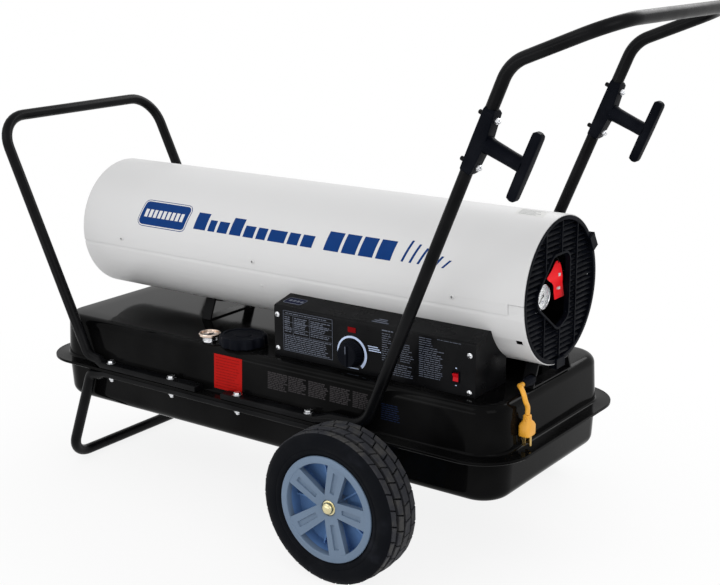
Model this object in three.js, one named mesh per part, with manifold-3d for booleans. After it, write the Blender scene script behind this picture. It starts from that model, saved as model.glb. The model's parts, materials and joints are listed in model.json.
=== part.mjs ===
// Forced air heater: a portable kerosene heater, its barrel on a fuel tank, on two wheels and a foot.
// Millimetres, +Z up. The fan end is at +X, the hot air outlet at -X, and the controls face -Y.
// The origin is on the ground under the middle of the heater's length.
import * as THREE from 'three';
import { mergeVertices } from 'three/addons/utils/BufferGeometryUtils.js';
import Module from 'manifold-3d';

const wasm = await Module();
wasm.setup();

// ---------------------------------------------------------------- driving dimensions

// Fits
const GAP = 0.3; // clearance between two pieces that seat on each other
const SHEET = 1.5; // thickness of the pressed and folded sheet

// Wheels and axle
const WHEEL_RADIUS = 127;
const TYRE_WIDTH = 76;
const WHEEL_OFFSET = 90; // from a side tube's centre line to the tyre's middle plane
const AXLE_X = 230;
const AXLE_RADIUS = 6.5;
const HUB_SEAT_RADIUS = 82; // where the tyre sits on the hub
const HUB_FLANGE_RADIUS = 88;
const HUB_RIM_WALL = 6;
const HUB_FLANGE_THICKNESS = 3.5;
const HUB_BOSS_RADIUS = 17;
const HUB_BOSS_FRONT = 24; // from the wheel's middle plane outwards
const HUB_BOSS_BACK = 30; // from the wheel's middle plane inwards
const SPOKE_COUNT = 5;
const TREAD_DEPTH = 6;
const TREAD_BLOCKS = 18; // also the sides of the tyre and of the hub
const TREAD_ROWS = 2;
const TREAD_GROOVE = 5;

// Bent tube: wheel frame and handles
const TUBE_RADIUS = 10;
const BOLT_INSET = 14; // from the tank's wall to the bolts and the side tubes' centre line
const TUBE_FLAT_WIDTH = 24; // where the tube is pressed flat for its bolts
const TUBE_FLAT_HEIGHT = 10;
const FOOT_BEND = 45;
const CORNER_BEND = 60;
const FOOT_X = -490;
const FOOT_LEG_TOP_X = -421;
const FRONT_LEG_X = -424;
const FRONT_TOP_X = -634;
const FRONT_TOP_Z = 659.3;
const FRONT_RUN_END_X = -145;
const REAR_RUN_END_X = -85;
const REAR_LEG_X = 217;
const REAR_BEND_X = 470.7;
const REAR_BEND_Z = 818.7;
const REAR_GRIP_X = 634;
const REAR_GRIP_Z = 883;
const BOLT_X = [-365, -212, -55, 101];
const BOLT_RADIUS = 4;
const BOLT_HEAD_RADIUS = 7;
const BOLT_HEAD_HEIGHT = 5.5;
const BOLT_END_LENGTH = 4; // bolt end past its nut

// Cord cleats on the rear handle
const CLEAT_ALONG_LEG = 526; // from the foot of the leg to the middle of the cleat
const CLEAT_REACH = 82; // from the leg's centre line to the cross bar
const CLEAT_BAR_LENGTH = 110;
const CLEAT_SADDLE_LENGTH = 100;
const CLEAT_SADDLE_RISE = 7; // of the saddle's back over the tube
const CLEAT_HALF_WIDTH = 9;
const CLEAT_STEM_RADIUS = 8.5;
const CLEAT_BAR_BACK = 7; // from the middle of the bar towards the leg
const CLEAT_BAR_FRONT = 9;
const GRIP_ROUND = 4; // round of the bar's ends

// Fuel tank
const TANK_X0 = -526;
const TANK_X1 = 453;
const TANK_HALF_WIDTH = 190;
const TANK_SEAM_Z = 209.4;
const TANK_TOP_Z = 293;
const TANK_BOTTOM_Z = 130;
const TANK_CORNER = 56;
const TANK_TOP_EDGE = 13;
const TANK_BOTTOM_EDGE = 20;
const TANK_DRAFT = 3;
const AXLE_CHANNEL = 3; // room round the axle in the channel across the tank's underside
const FLANGE_WIDTH = 27;
const FLANGE_THICKNESS = 2.4;

// Filler and gauge on the tank
const FILLER_X = -87;
const FILLER_INSET = 43; // from the tank's wall
const NECK_RADIUS = 27;
const NECK_WALL = 2.5;
const NECK_HEIGHT = 14;
const CAP_RADIUS = 43;
const CAP_HEIGHT = 18;
const CAP_LOBES = 10;
const CAP_LOBE_POINTS = 3;
const FUEL_GAUGE_X = -152;
const FUEL_GAUGE_INSET = 27; // from the tank's wall
const FUEL_GAUGE_RADIUS = 19.5;
const FUEL_GAUGE_HEIGHT = 16;
const FUEL_STEM_RADIUS = 8;
const FLOAT_DEPTH = 120;

// Barrel
const BARREL_X0 = -508;
const BARREL_X1 = 457;
const BARREL_Z = 443.2;
const BARREL_RADIUS = 122;
const LAP_ANGLE = 8.5; // the upper shell laps this far below the middle plane, degrees
const LAP_NOTCH = 28; // the lap stops this far before the fan end
const SHELL_LIP = 4;
const SHELL_STEPS = 20; // flats round each half

// Combustion chamber and burner
const CHAMBER_RADIUS = 98;
const CHAMBER_X0 = -496;
const CHAMBER_X1 = 140;
const CHAMBER_MOUTH_RADIUS = 86;
const CHAMBER_NECK = 28;
const CHAMBER_INLET_RADIUS = 46;
const BRACKET_WIDTH = 14;
const SPIDER_ARM = 6; // half the width of a bracket's arm
const BRACKET_X = [-440, 90];
const BAFFLE_RADIUS = 46;
const BAFFLE_X = -466;
const BAFFLE_PAD = 7; // half the width of each foot
const BAFFLE_DISH = 14; // depth of the dish
const BAFFLE_FOOT = 18; // length of each foot along the wall
const BAFFLE_LEG_ANGLES = [90, 210, 330];
const HEAD_COLLAR = 14; // width of the burner head's collar round the cone
const HEAD_CONE = 14; // depth of the cone
const HEAD_SPIGOT = 8; // length of the nozzle's socket behind the cone
const SWIRL_SLOTS = 6;
const ELECTRODE_PITCH = 26; // radius on which the electrodes stand
const ELECTRODE_ANGLES = [78, 102];
const NOZZLE_RADIUS = 11;
const NOZZLE_LENGTH = 46;
const ELECTRODE_RADIUS = 3.5;
const ELECTRODE_LENGTH = 48;

// Motor, fan and air pump
const SHAFT_RADIUS = 4;
const FAN_X = 238;
const FAN_RADIUS = 108;
const FAN_HUB_RADIUS = 20;
const FAN_HUB_LENGTH = 24;
const FAN_BLADES = 5;
const BLADE_ROOT_CHORD = 30;
const BLADE_WIDENING = 26; // of the chord, from the axis to the tip
const BLADE_SKEW = 8;
const BLADE_CAMBER = 3;
const BLADE_THICKNESS = 1.6;
const MOTOR_X0 = 266;
const MOTOR_LENGTH = 104;
const MOTOR_RADIUS = 45;
const MOTOR_BRACKET_WIDTH = 18;
const PUMP_RADIUS = 41;
const PUMP_BODY_LENGTH = 17;
const PUMP_COVER_LENGTH = 16;
const PRESSURE_GAUGE_Y = -18;
const PRESSURE_GAUGE_Z = 433;
const PRESSURE_GAUGE_RADIUS = 21;
const PRESSURE_GAUGE_DEPTH = 12;
const GAUGE_STEM_LENGTH = 15;
const PRESSURE_ZERO_ANGLE = 135; // the pointer at rest, from straight up
const PUMP_NUT_Y = -14;
const PUMP_NUT_Z = 411;

// Fan guard
const GUARD_DEPTH = 11;
const GUARD_RIM = 5;
const SLAT_PITCH = 12;
const SLAT_THICKNESS = 1.6;
const SLAT_TILT = 30; // degrees
const RIB_PITCH = 50;
const RIB_THICKNESS = 2.4;
const WINDOW_RIM = 3.5;
const WINDOW_BEND = 16; // radius of the window's corners
const WINDOW_CORNERS = [[27, 59], [-27, 59], [-76, 8], [-76, -12], [-8, -62], [26, -48]]; // Y and Z
const CLIP_ANGLES = [-90, 30];
const CLIP_WIDTH = 20;
const CLIP_GRIP = 9; // along the outside of the barrel
const CLIP_THICKNESS = 2.6;

// Covers between tank and barrel
const COVER_X0 = -7;
const COVER_X1 = 395;
const COVER_Y = 156.8;
const COVER_SHOULDER_Z = 383;
const COVER_LIP_Y = 112;
const COVER_LIP_Z = 392;
const COVER_BACK_Y = 62;
const SUPPORT_X = [-250, 436];
const SUPPORT_WIDTH = 22;
const SUPPORT_HALF_BASE = 66;
const SUPPORT_HALF_TOP = 50;

// Controls on the side cover
const KNOB_X = 157.6;
const KNOB_Z = 324;
const KNOB_RADIUS = 23;
const KNOB_DEPTH = 17;
const SWITCH_X = 359.6;
const SWITCH_Z = 322.4;
const SWITCH_WIDTH = 14;
const SWITCH_HEIGHT = 19;
const ROCKER_WIDTH = 10;
const ROCKER_HEIGHT = 15;
const ROCKER_TILT = 10; // to each side of the middle; it is switched off, its top out
const DISPLAY_X = 158;
const DISPLAY_Z = 365;
const DISPLAY_WIDTH = 16;
const DISPLAY_HEIGHT = 9;
const BOARD_WIDTH = 110;
const BOARD_HEIGHT = 52;

// Power cord: the short pigtail at the fan end
const CORD_RADIUS = 4;
const RELIEF_X = 440;
const RELIEF_Z = 306;
const RELIEF_RADIUS = 8.5;
const RELIEF_LENGTH = 14; // inside the support
const CORD_POINTS = [
  [440, -86.5, 306],
  [440, -95, 306],
  [445, -106.5, 310],
  [453, -115, 310],
  [459.5, -118.5, 302],
  [462, -117, 291],
  [463, -111.5, 280],
  [463, -111.5, 268],
];
const PLUG_LENGTH = 34;
const PLUG_WIDTH = 27;
const PLUG_THICKNESS = 20;
const BLADE_LENGTH = 16;

// Hoses
const HOSE_RADIUS = 4.5;
const HOSE_SIDES = 6;
const HOSE_HOLE_ANGLE = -143; // round the barrel, from +Y
const HOSE_HOLES_X = [375, 196, 165]; // air out, air in, fuel in
const HOSE_RUN_Y = -113; // the air hose's run between side cover and barrel
const HOSE_RUN_Z = 339;
const PICK_UP = [60, -110]; // where the fuel hose goes into the tank
const PICK_UP_DEPTH = 135;

// ---------------------------------------------------------------- derived sizes

const AXLE_Z = WHEEL_RADIUS;
const TUBE_SPAN = TANK_HALF_WIDTH + BOLT_INSET;
const WHEEL_Y = TUBE_SPAN + WHEEL_OFFSET;
const FILLER_Y = FILLER_INSET - TANK_HALF_WIDTH;
const FUEL_GAUGE_Y = FUEL_GAUGE_INSET - TANK_HALF_WIDTH;
const FLANGE_TOP_Z = TANK_SEAM_Z + GAP / 2 + FLANGE_THICKNESS;
const FLANGE_BOTTOM_Z = TANK_SEAM_Z - GAP / 2 - FLANGE_THICKNESS;
const HANDLE_RUN_Z = FLANGE_TOP_Z + GAP + TUBE_FLAT_HEIGHT / 2;
const RAIL_Z = FLANGE_BOTTOM_Z - GAP - TUBE_FLAT_HEIGHT / 2;
const HANDLE_ROUND_Z = FLANGE_TOP_Z + GAP + TUBE_RADIUS + 1;
const RAIL_ROUND_Z = FLANGE_BOTTOM_Z - GAP - TUBE_RADIUS - 1;
const MOTOR_X1 = MOTOR_X0 + MOTOR_LENGTH;
const MOTOR_BRACKET_X = (MOTOR_X0 + MOTOR_X1 - MOTOR_BRACKET_WIDTH) / 2;
const PUMP_X1 = MOTOR_X1 + GAP + PUMP_BODY_LENGTH;
const COVER_FACE_X = PUMP_X1 + GAP + PUMP_COVER_LENGTH;
const SHELL_INNER = BARREL_RADIUS - SHEET;
const LAP_OUTER = SHELL_INNER - 2 * GAP;
const LAP_INNER = LAP_OUTER - SHEET;
const NOZZLE_PORT_X = CHAMBER_X1 + GAP + NOZZLE_LENGTH - 8;
const NOZZLE_PORT_REACH = NOZZLE_RADIUS + 12;
const PUMP_PORT_X = (PUMP_X1 + GAP + COVER_FACE_X) / 2;
const PUMP_PORT_REACH = PUMP_RADIUS + 9;

// ---------------------------------------------------------------- geometry helpers

const radians = THREE.MathUtils.degToRad;
const vec = (x, y, z) => new THREE.Vector3(x, y, z);
const point = (r, degrees) => [r * Math.cos(radians(degrees)), r * Math.sin(radians(degrees))];

// Merges equal corners, drops empty triangles and turns the faces outwards.
function closed(geometry) {
  let g = geometry.clone();
  g.deleteAttribute('normal');
  g.deleteAttribute('uv');
  g = mergeVertices(g, 1e-4);
  const p = g.attributes.position;
  const corner = (i) => vec().fromBufferAttribute(p, i);
  const faces = [];
  let volume = 0;
  for (let i = 0; i < g.index.count; i += 3) {
    const [a, b, c] = [g.index.getX(i), g.index.getX(i + 1), g.index.getX(i + 2)];
    if (a === b || b === c || c === a) continue;
    faces.push([a, b, c]);
    volume += corner(a).dot(corner(b).cross(corner(c)));
  }
  g.setIndex((volume < 0 ? faces.map(([a, b, c]) => [a, c, b]) : faces).flat());
  return g;
}

function toSolid(geometry) {
  const g = closed(geometry);
  const mesh = new wasm.Mesh({
    numProp: 3,
    vertProperties: new Float32Array(g.attributes.position.array),
    triVerts: new Uint32Array(g.index.array),
  });
  return new wasm.Manifold(mesh);
}

function fromSolid(solid) {
  const mesh = solid.getMesh();
  const g = new THREE.BufferGeometry();
  g.setAttribute('position', new THREE.BufferAttribute(new Float32Array(mesh.vertProperties), 3));
  g.setIndex(Array.from(mesh.triVerts));
  return g;
}

const common = (part, tool) => fromSolid(toSolid(part).intersect(toSolid(tool)));
const join = (...parts) => fromSolid(parts.map(toSolid).reduce((a, b) => a.add(b)));
const cut = (part, ...tools) => fromSolid(tools.map(toSolid).reduce((a, b) => a.subtract(b), toSolid(part)));

const flat = (points) => points.map(([x, y]) => new THREE.Vector2(x, y));
const outline = (points) => new THREE.Shape(flat(points));
const path = (points) => new THREE.Path(flat(points));

function arc(r, from, to, steps, cx = 0, cy = 0) {
  return Array.from({ length: steps + 1 }, (_, i) => {
    const [x, y] = point(r, from + ((to - from) * i) / steps);
    return [cx + x, cy + y];
  });
}

// Rounds the corners of a polygon, whose edges may be moved outwards.
function rounded(corners, radius, steps = 4, out = 0) {
  return corners.flatMap(([x, y], i) => {
    const from = corners.at(i - 1);
    const to = corners[(i + 1) % corners.length];
    const a = new THREE.Vector2(from[0] - x, from[1] - y).normalize();
    const b = new THREE.Vector2(to[0] - x, to[1] - y).normalize();
    const half = Math.acos(THREE.MathUtils.clamp(a.dot(b), -1, 1)) / 2;
    const inward = a.clone().add(b).normalize().divideScalar(Math.sin(half));
    const start = a.clone().multiplyScalar(radius / Math.tan(half)).addScaledVector(inward, -radius).angle();
    const middle = inward.multiplyScalar(radius - out);
    const turn = Math.PI - 2 * half;
    const side = Math.sign(a.x * b.y - a.y * b.x) || 1;
    return Array.from({ length: steps + 1 }, (_, k) => {
      const t = start - (side * turn * k) / steps;
      return [x + middle.x + radius * Math.cos(t), y + middle.y + radius * Math.sin(t)];
    });
  });
}

const rectangle = (x0, y0, x1, y1) => [[x0, y0], [x1, y0], [x1, y1], [x0, y1]];

function extrude(shape, depth, curveSegments = 6) {
  return new THREE.ExtrudeGeometry(shape, { depth, bevelEnabled: false, curveSegments });
}

// An outline drawn in Y and Z, from x0 to x1.
function alongX(shape, x0, x1) {
  const m = new THREE.Matrix4().makeBasis(vec(0, 1, 0), vec(0, 0, 1), vec(1, 0, 0)).setPosition(x0, 0, 0);
  return extrude(shape, x1 - x0).applyMatrix4(m);
}

// An outline drawn in X and Z, from y0 to y1.
function alongY(shape, y0, y1) {
  const m = new THREE.Matrix4().makeBasis(vec(1, 0, 0), vec(0, 0, 1), vec(0, -1, 0)).setPosition(0, y1, 0);
  return extrude(shape, y1 - y0).applyMatrix4(m);
}

// An outline drawn in X and Y, from z0 to z1.
const alongZ = (shape, z0, z1) => extrude(shape, z1 - z0).translate(0, 0, z0);

// Enough sides for a round of this radius.
const facets = (radius) => 4 * Math.round(0.36 * Math.sqrt(radius) + 1);

// A profile of [radius, height] pairs turned about an axis.
function revolve(axis, profile, segments = facets(Math.max(...profile.map(([r]) => r)))) {
  const g = new THREE.LatheGeometry(profile.map(([r, h]) => new THREE.Vector2(r, h)), segments);
  if (axis === 'x') g.rotateZ(-Math.PI / 2);
  if (axis === 'z') g.rotateX(Math.PI / 2);
  return g;
}

const disc = (axis, radius, from, to, segments = facets(radius)) =>
  revolve(axis, [[0, from], [radius, from], [radius, to], [0, to]], segments);

const tube = (axis, outer, inner, from, to, segments = facets(outer)) =>
  revolve(axis, [[inner, from], [outer, from], [outer, to], [inner, to], [inner, from]], segments);

const box = (x0, y0, z0, x1, y1, z1) =>
  new THREE.BoxGeometry(x1 - x0, y1 - y0, z1 - z0).translate((x0 + x1) / 2, (y0 + y1) / 2, (z0 + z1) / 2);

// Skins a row of rings with equal numbers of points, and caps both ends.
function loft(rings) {
  const n = rings[0].length;
  const positions = rings.flat().flatMap((p) => p.toArray());
  const index = [];
  for (let r = 0; r + 1 < rings.length; r += 1) {
    for (let i = 0; i < n; i += 1) {
      const j = (i + 1) % n;
      const [a, b, c, d] = [r * n + i, r * n + j, (r + 1) * n + j, (r + 1) * n + i];
      index.push(a, b, c, a, c, d);
    }
  }
  [[0, rings[0]], [(rings.length - 1) * n, rings.at(-1)]].forEach(([first, ring], end) => {
    const middle = ring.reduce((sum, p) => sum.add(p), vec(0, 0, 0)).divideScalar(n);
    const centre = positions.length / 3;
    positions.push(...middle.toArray());
    for (let i = 0; i < n; i += 1) {
      const j = (i + 1) % n;
      index.push(...(end ? [centre, first + i, first + j] : [centre, first + j, first + i]));
    }
  });
  const g = new THREE.BufferGeometry();
  g.setAttribute('position', new THREE.Float32BufferAttribute(positions, 3));
  g.setIndex(index);
  return g;
}

// ---------------------------------------------------------------- bent tube

// Points along straight runs whose corners are bent to a radius; each has its direction.
function bentPath(corners, steps = 3) {
  const stations = [{ at: vec(...corners[0].at), way: null }];
  for (let i = 1; i + 1 < corners.length; i += 1) {
    const p = vec(...corners[i].at);
    const a = vec(...corners[i - 1].at).sub(p).normalize();
    const b = vec(...corners[i + 1].at).sub(p).normalize();
    if (!corners[i].bend) {
      stations.push({ at: p, way: b.clone().sub(a).normalize() });
      continue;
    }
    const half = a.angleTo(b) / 2;
    const setback = corners[i].bend / Math.tan(half);
    const inwards = a.clone().add(b).normalize();
    const centre = p.clone().addScaledVector(inwards, corners[i].bend / Math.sin(half));
    const out = p.clone().addScaledVector(a, setback).sub(centre);
    const axis = a.clone().cross(b).negate().normalize();
    for (let k = 0; k <= steps; k += 1) {
      const angle = ((Math.PI - 2 * half) * k) / steps;
      stations.push({
        at: centre.clone().add(out.clone().applyAxisAngle(axis, angle)),
        way: a.clone().negate().applyAxisAngle(axis, angle),
      });
    }
  }
  stations.push({ at: vec(...corners.at(-1).at), way: null });
  stations[0].way = stations[1].at.clone().sub(stations[0].at).normalize();
  stations.at(-1).way = stations.at(-1).at.clone().sub(stations.at(-2).at).normalize();
  return stations;
}

// Sweeps a section along stations. section(station) gives [across, up] pairs.
function sweep(stations, section, across = vec(0, 1, 0)) {
  const side = across.clone();
  return loft(stations.map((station) => {
    side.addScaledVector(station.way, -side.dot(station.way)).normalize();
    const up = station.way.clone().cross(side);
    const { at } = station;
    return section(station).map(([u, v]) => at.clone().addScaledVector(side, u).addScaledVector(up, v));
  }));
}

const ring = (radius, sides) =>
  Array.from({ length: sides }, (_, i) => point(radius, (360 * (i + 0.5)) / sides));

// A round tube, pressed flat where it lies at the height of its bolted run.
function handleTube(corners, runZ) {
  const sides = 8;
  const round = ring(TUBE_RADIUS, sides);
  const flat = ring(1, sides).map(([u, v]) => [
    (u * TUBE_FLAT_WIDTH) / 2,
    (THREE.MathUtils.clamp(v * 1.6, -1, 1) * TUBE_FLAT_HEIGHT) / 2,
  ]);
  return sweep(bentPath(corners), ({ at }) => (Math.abs(at.z - runZ) < 0.5 ? flat : round));
}

// One side of the path runs along y = -TUBE_SPAN; the other side mirrors it.
function bothSides(near) {
  const far = near.map(({ at: [x, y, z], bend }) => ({ at: [x, -y, z], bend })).reverse();
  return [...near, ...far];
}

const boltHoles = (xs, z0, z1) => xs.flatMap((x) => [-1, 1].map((side) =>
  disc('z', BOLT_RADIUS + GAP, z0, z1, 6).translate(x, side * TUBE_SPAN, 0)));

function frontHandle() {
  const y = -TUBE_SPAN;
  const route = bothSides([
    { at: [FRONT_RUN_END_X, y, HANDLE_RUN_Z] },
    { at: [BOLT_X[0] - 18, y, HANDLE_RUN_Z] },
    { at: [FRONT_LEG_X + 26, y, HANDLE_ROUND_Z] },
    { at: [FRONT_LEG_X, y, HANDLE_ROUND_Z + 4], bend: FOOT_BEND / 2 },
    { at: [FRONT_TOP_X, y, FRONT_TOP_Z], bend: CORNER_BEND },
  ]);
  const holes = boltHoles(BOLT_X.slice(0, 2), FLANGE_TOP_Z, HANDLE_RUN_Z + 20);
  return cut(handleTube(route, HANDLE_RUN_Z), ...holes);
}

function rearHandle() {
  const y = -TUBE_SPAN;
  const route = bothSides([
    { at: [REAR_RUN_END_X, y, HANDLE_RUN_Z] },
    { at: [BOLT_X[3] + 18, y, HANDLE_RUN_Z] },
    { at: [BOLT_X[3] + 48, y, HANDLE_ROUND_Z] },
    { at: [REAR_LEG_X, y, HANDLE_ROUND_Z], bend: FOOT_BEND },
    { at: [REAR_BEND_X, y, REAR_BEND_Z], bend: CORNER_BEND },
    { at: [REAR_GRIP_X, y, REAR_GRIP_Z], bend: CORNER_BEND },
  ]);
  const holes = boltHoles(BOLT_X.slice(2), FLANGE_TOP_Z, HANDLE_RUN_Z + 20);
  return cut(handleTube(route, HANDLE_RUN_Z), ...holes);
}

function wheelFrame() {
  const y = -TUBE_SPAN;
  const route = bothSides([
    { at: [AXLE_X, y, AXLE_Z - 2 * AXLE_RADIUS] },
    { at: [AXLE_X, y, RAIL_ROUND_Z], bend: FOOT_BEND },
    { at: [BOLT_X[3] + 50, y, RAIL_ROUND_Z] },
    { at: [BOLT_X[3] + 18, y, RAIL_Z] },
    { at: [BOLT_X[0] - 12, y, RAIL_Z] },
    { at: [BOLT_X[0] - 30, y, RAIL_ROUND_Z] },
    { at: [FOOT_LEG_TOP_X, y, RAIL_ROUND_Z - 3], bend: FOOT_BEND / 3 },
    { at: [FOOT_X, y, TUBE_RADIUS], bend: FOOT_BEND },
  ]);
  const axleHole = disc('y', AXLE_RADIUS + GAP, -TUBE_SPAN - 20, TUBE_SPAN + 20).translate(AXLE_X, 0, AXLE_Z);
  return cut(handleTube(route, RAIL_Z), axleHole, ...boltHoles(BOLT_X, RAIL_Z - 20, FLANGE_BOTTOM_Z));
}

// A bolt with its nut run up: the head stands on the handle, the nut under the frame's rail.
function handleBolt() {
  const headZ = HANDLE_RUN_Z + TUBE_FLAT_HEIGHT / 2 + GAP;
  const nutZ = RAIL_Z - TUBE_FLAT_HEIGHT / 2 - GAP;
  return join(
    disc('z', BOLT_HEAD_RADIUS, headZ, headZ + BOLT_HEAD_HEIGHT, 6),
    disc('z', BOLT_RADIUS, nutZ - BOLT_HEAD_HEIGHT - BOLT_END_LENGTH, headZ + 1, 6),
    disc('z', BOLT_HEAD_RADIUS, nutZ - BOLT_HEAD_HEIGHT, nutZ, 6),
  );
}

// ---------------------------------------------------------------- cord cleats

const REAR_LEG_WAY = vec(REAR_BEND_X - REAR_LEG_X, 0, REAR_BEND_Z - HANDLE_ROUND_Z).normalize();

// Drawn standing on the leg: X is the way off the leg, Z runs up the leg.
function cleat() {
  const seat = TUBE_RADIUS + GAP;
  const [half, barHalf] = [CLEAT_SADDLE_LENGTH / 2, CLEAT_BAR_LENGTH / 2];
  const [edge, back] = [seat + CLEAT_SADDLE_RISE / 2, seat + CLEAT_SADDLE_RISE];
  const saddleCorners = [[0, -half], [edge, -half], [back, 0], [edge, half], [0, half]];
  const tubeRoom = disc('z', seat, -CLEAT_SADDLE_LENGTH, CLEAT_SADDLE_LENGTH, 20);
  const near = CLEAT_REACH - CLEAT_BAR_BACK;
  const [tip, far] = [CLEAT_REACH + CLEAT_BAR_FRONT / 2, CLEAT_REACH + CLEAT_BAR_FRONT];
  const barCorners = [[near, -barHalf], [tip, -barHalf], [far, 0], [tip, barHalf], [near, barHalf]];
  const across = (corners, radius) =>
    alongY(outline(rounded(corners, radius, 2)), -CLEAT_HALF_WIDTH, CLEAT_HALF_WIDTH);
  return join(
    cut(across(saddleCorners, CLEAT_SADDLE_RISE / 2), tubeRoom),
    disc('x', CLEAT_STEM_RADIUS, (edge + seat) / 2, CLEAT_REACH),
    across(barCorners, GRIP_ROUND),
  );
}

// ---------------------------------------------------------------- wheels

function tyre() {
  const half = TYRE_WIDTH / 2;
  const seat = HUB_SEAT_RADIUS + GAP;
  const bead = half - 1 - HUB_FLANGE_THICKNESS - GAP;
  const root = WHEEL_RADIUS - TREAD_DEPTH;
  const side = [
    [seat, bead], [HUB_FLANGE_RADIUS + 1.5, bead], [HUB_FLANGE_RADIUS + 6, half - 1],
    [(HUB_FLANGE_RADIUS + root) / 2 + 2, half], [root, half - 6],
  ];
  const profile = [...side, ...side.map(([r, h]) => [r, -h]).reverse(), side[0]];
  const treadWidth = 2 * (half - 6.5);
  const rowWidth = (treadWidth - (TREAD_ROWS - 1) * TREAD_GROOVE) / TREAD_ROWS;
  const pitch = 360 / TREAD_BLOCKS;
  const notch = THREE.MathUtils.radToDeg(TREAD_GROOVE / WHEEL_RADIUS) / 2;
  const rows = Array.from({ length: TREAD_ROWS }, (_, row) => {
    const teeth = Array.from({ length: TREAD_BLOCKS }, (__, i) => {
      const middle = pitch * (i + (row % 2) / 2);
      const [from, to] = [middle - pitch / 2 + notch, middle + pitch / 2 - notch];
      return [point(root - 2, from), point(WHEEL_RADIUS, from), point(WHEEL_RADIUS, to), point(root - 2, to)];
    }).flat();
    const shape = outline(teeth);
    shape.holes.push(path(arc(root - 5, 360, 0, TREAD_BLOCKS).slice(1)));
    const y0 = -treadWidth / 2 + row * (rowWidth + TREAD_GROOVE);
    return alongY(shape, y0, y0 + rowWidth);
  });
  return join(revolve('y', profile, TREAD_BLOCKS), ...rows);
}

function spoke(angle) {
  const section = (r, halfWidth, front, back) =>
    [[-halfWidth, -front], [halfWidth, -front], [halfWidth, -back], [-halfWidth, -back]]
      .map(([w, y]) => vec(w, y, r).applyAxisAngle(vec(0, 1, 0), radians(angle)));
  const rim = TYRE_WIDTH / 2 - 1;
  const rimInside = HUB_SEAT_RADIUS - HUB_RIM_WALL;
  return loft([
    section(AXLE_RADIUS + 3, 9, HUB_BOSS_FRONT + 2, HUB_BOSS_FRONT - 6),
    section(rimInside + 2, 14, rim - 0.5, rim - 8),
  ]);
}

function hub() {
  const bore = AXLE_RADIUS + GAP;
  const rim = TYRE_WIDTH / 2 - 1;
  const inside = HUB_SEAT_RADIUS - HUB_RIM_WALL;
  const shoulder = rim - HUB_FLANGE_THICKNESS;
  const web = 3;
  const profile = [
    [bore, -HUB_BOSS_FRONT], [HUB_BOSS_RADIUS, -HUB_BOSS_FRONT], [HUB_BOSS_RADIUS, -web], [inside, -web],
    [inside, -rim], [HUB_FLANGE_RADIUS, -rim], [HUB_FLANGE_RADIUS, -shoulder], [HUB_SEAT_RADIUS, -shoulder],
    [HUB_SEAT_RADIUS, shoulder], [HUB_FLANGE_RADIUS, shoulder], [HUB_FLANGE_RADIUS, rim], [inside, rim],
    [inside, web], [HUB_BOSS_RADIUS, web], [HUB_BOSS_RADIUS, HUB_BOSS_BACK], [bore, HUB_BOSS_BACK],
    [bore, -HUB_BOSS_FRONT],
  ];
  const spokes = Array.from({ length: SPOKE_COUNT }, (_, i) => spoke((360 / SPOKE_COUNT) * i + 18));
  const clearance = disc('y', bore, -TYRE_WIDTH, TYRE_WIDTH, TREAD_BLOCKS);
  const nutSeat = disc('y', 13, -TYRE_WIDTH, -HUB_BOSS_FRONT);
  return cut(join(revolve('y', profile, TREAD_BLOCKS), ...spokes), clearance, nutSeat);
}

const axleSpacer = () => tube('y', 12, AXLE_RADIUS + GAP, HUB_BOSS_BACK + GAP,
  WHEEL_Y - TUBE_SPAN - TUBE_RADIUS - GAP);

function capNut() {
  const from = HUB_BOSS_FRONT + GAP;
  const bore = AXLE_RADIUS + GAP;
  return revolve('y', [
    [bore, -from], [12, -from], [12, -from - 2], [9.8, -from - 2.5], [9.8, -from - 6], [7.5, -from - 9],
    [3.5, -from - 10.6], [0, -from - 11], [0, -from - 7.6], [bore, -from - 7.6], [bore, -from],
  ]);
}

const axle = () => {
  const reach = WHEEL_Y + HUB_BOSS_FRONT + 7;
  return disc('y', AXLE_RADIUS, -reach, reach).translate(AXLE_X, 0, AXLE_Z);
};

// ---------------------------------------------------------------- fuel tank

// A rounded rectangle, drawn in from the tank's outer wall by an inset.
function tankRing(inset, z) {
  const r = Math.max(TANK_CORNER - inset, 2);
  const half = TANK_HALF_WIDTH - inset;
  const corners = rectangle(TANK_X0 + inset, -half, TANK_X1 - inset, half);
  return rounded(corners, r, 4).map(([x, y]) => vec(x, y, z));
}

// The rings of a half's outer face, from the end face over its edge to the wall.
function tankOutside(faceZ, up, edge) {
  return [90, 45, 0].map((a) => tankRing(
    TANK_DRAFT + edge * (1 - Math.cos(radians(a))),
    faceZ - up * edge * (1 - Math.sin(radians(a))),
  ));
}

// One pressed half: end face outside, edge, wall, flange, and back up the inside.
function tankHalf(faceZ, seamZ, edge) {
  const up = Math.sign(faceZ - seamZ);
  const flangeZ = seamZ + up * FLANGE_THICKNESS;
  const insideFace = faceZ - up * SHEET;
  return loft([
    ...tankOutside(faceZ, up, edge),
    tankRing(0, flangeZ + up * 4), tankRing(-3, flangeZ),
    tankRing(-FLANGE_WIDTH, flangeZ), tankRing(-FLANGE_WIDTH, seamZ),
    tankRing(SHEET, seamZ), tankRing(TANK_DRAFT + SHEET, insideFace - up * edge),
    tankRing(TANK_DRAFT + SHEET + edge, insideFace),
  ]);
}

const topHole = (radius, x, y) => disc('z', radius, TANK_TOP_Z - 30, TANK_TOP_Z + 5).translate(x, y, 0);

const tankUpper = () => cut(
  tankHalf(TANK_TOP_Z, TANK_SEAM_Z + GAP / 2, TANK_TOP_EDGE),
  topHole(NECK_RADIUS + GAP, FILLER_X, FILLER_Y),
  topHole(FUEL_STEM_RADIUS + GAP, FUEL_GAUGE_X, FUEL_GAUGE_Y),
  topHole(HOSE_RADIUS + 2, ...PICK_UP),
  ...boltHoles(BOLT_X, TANK_SEAM_Z - 10, TANK_SEAM_Z + 10),
);

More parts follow.
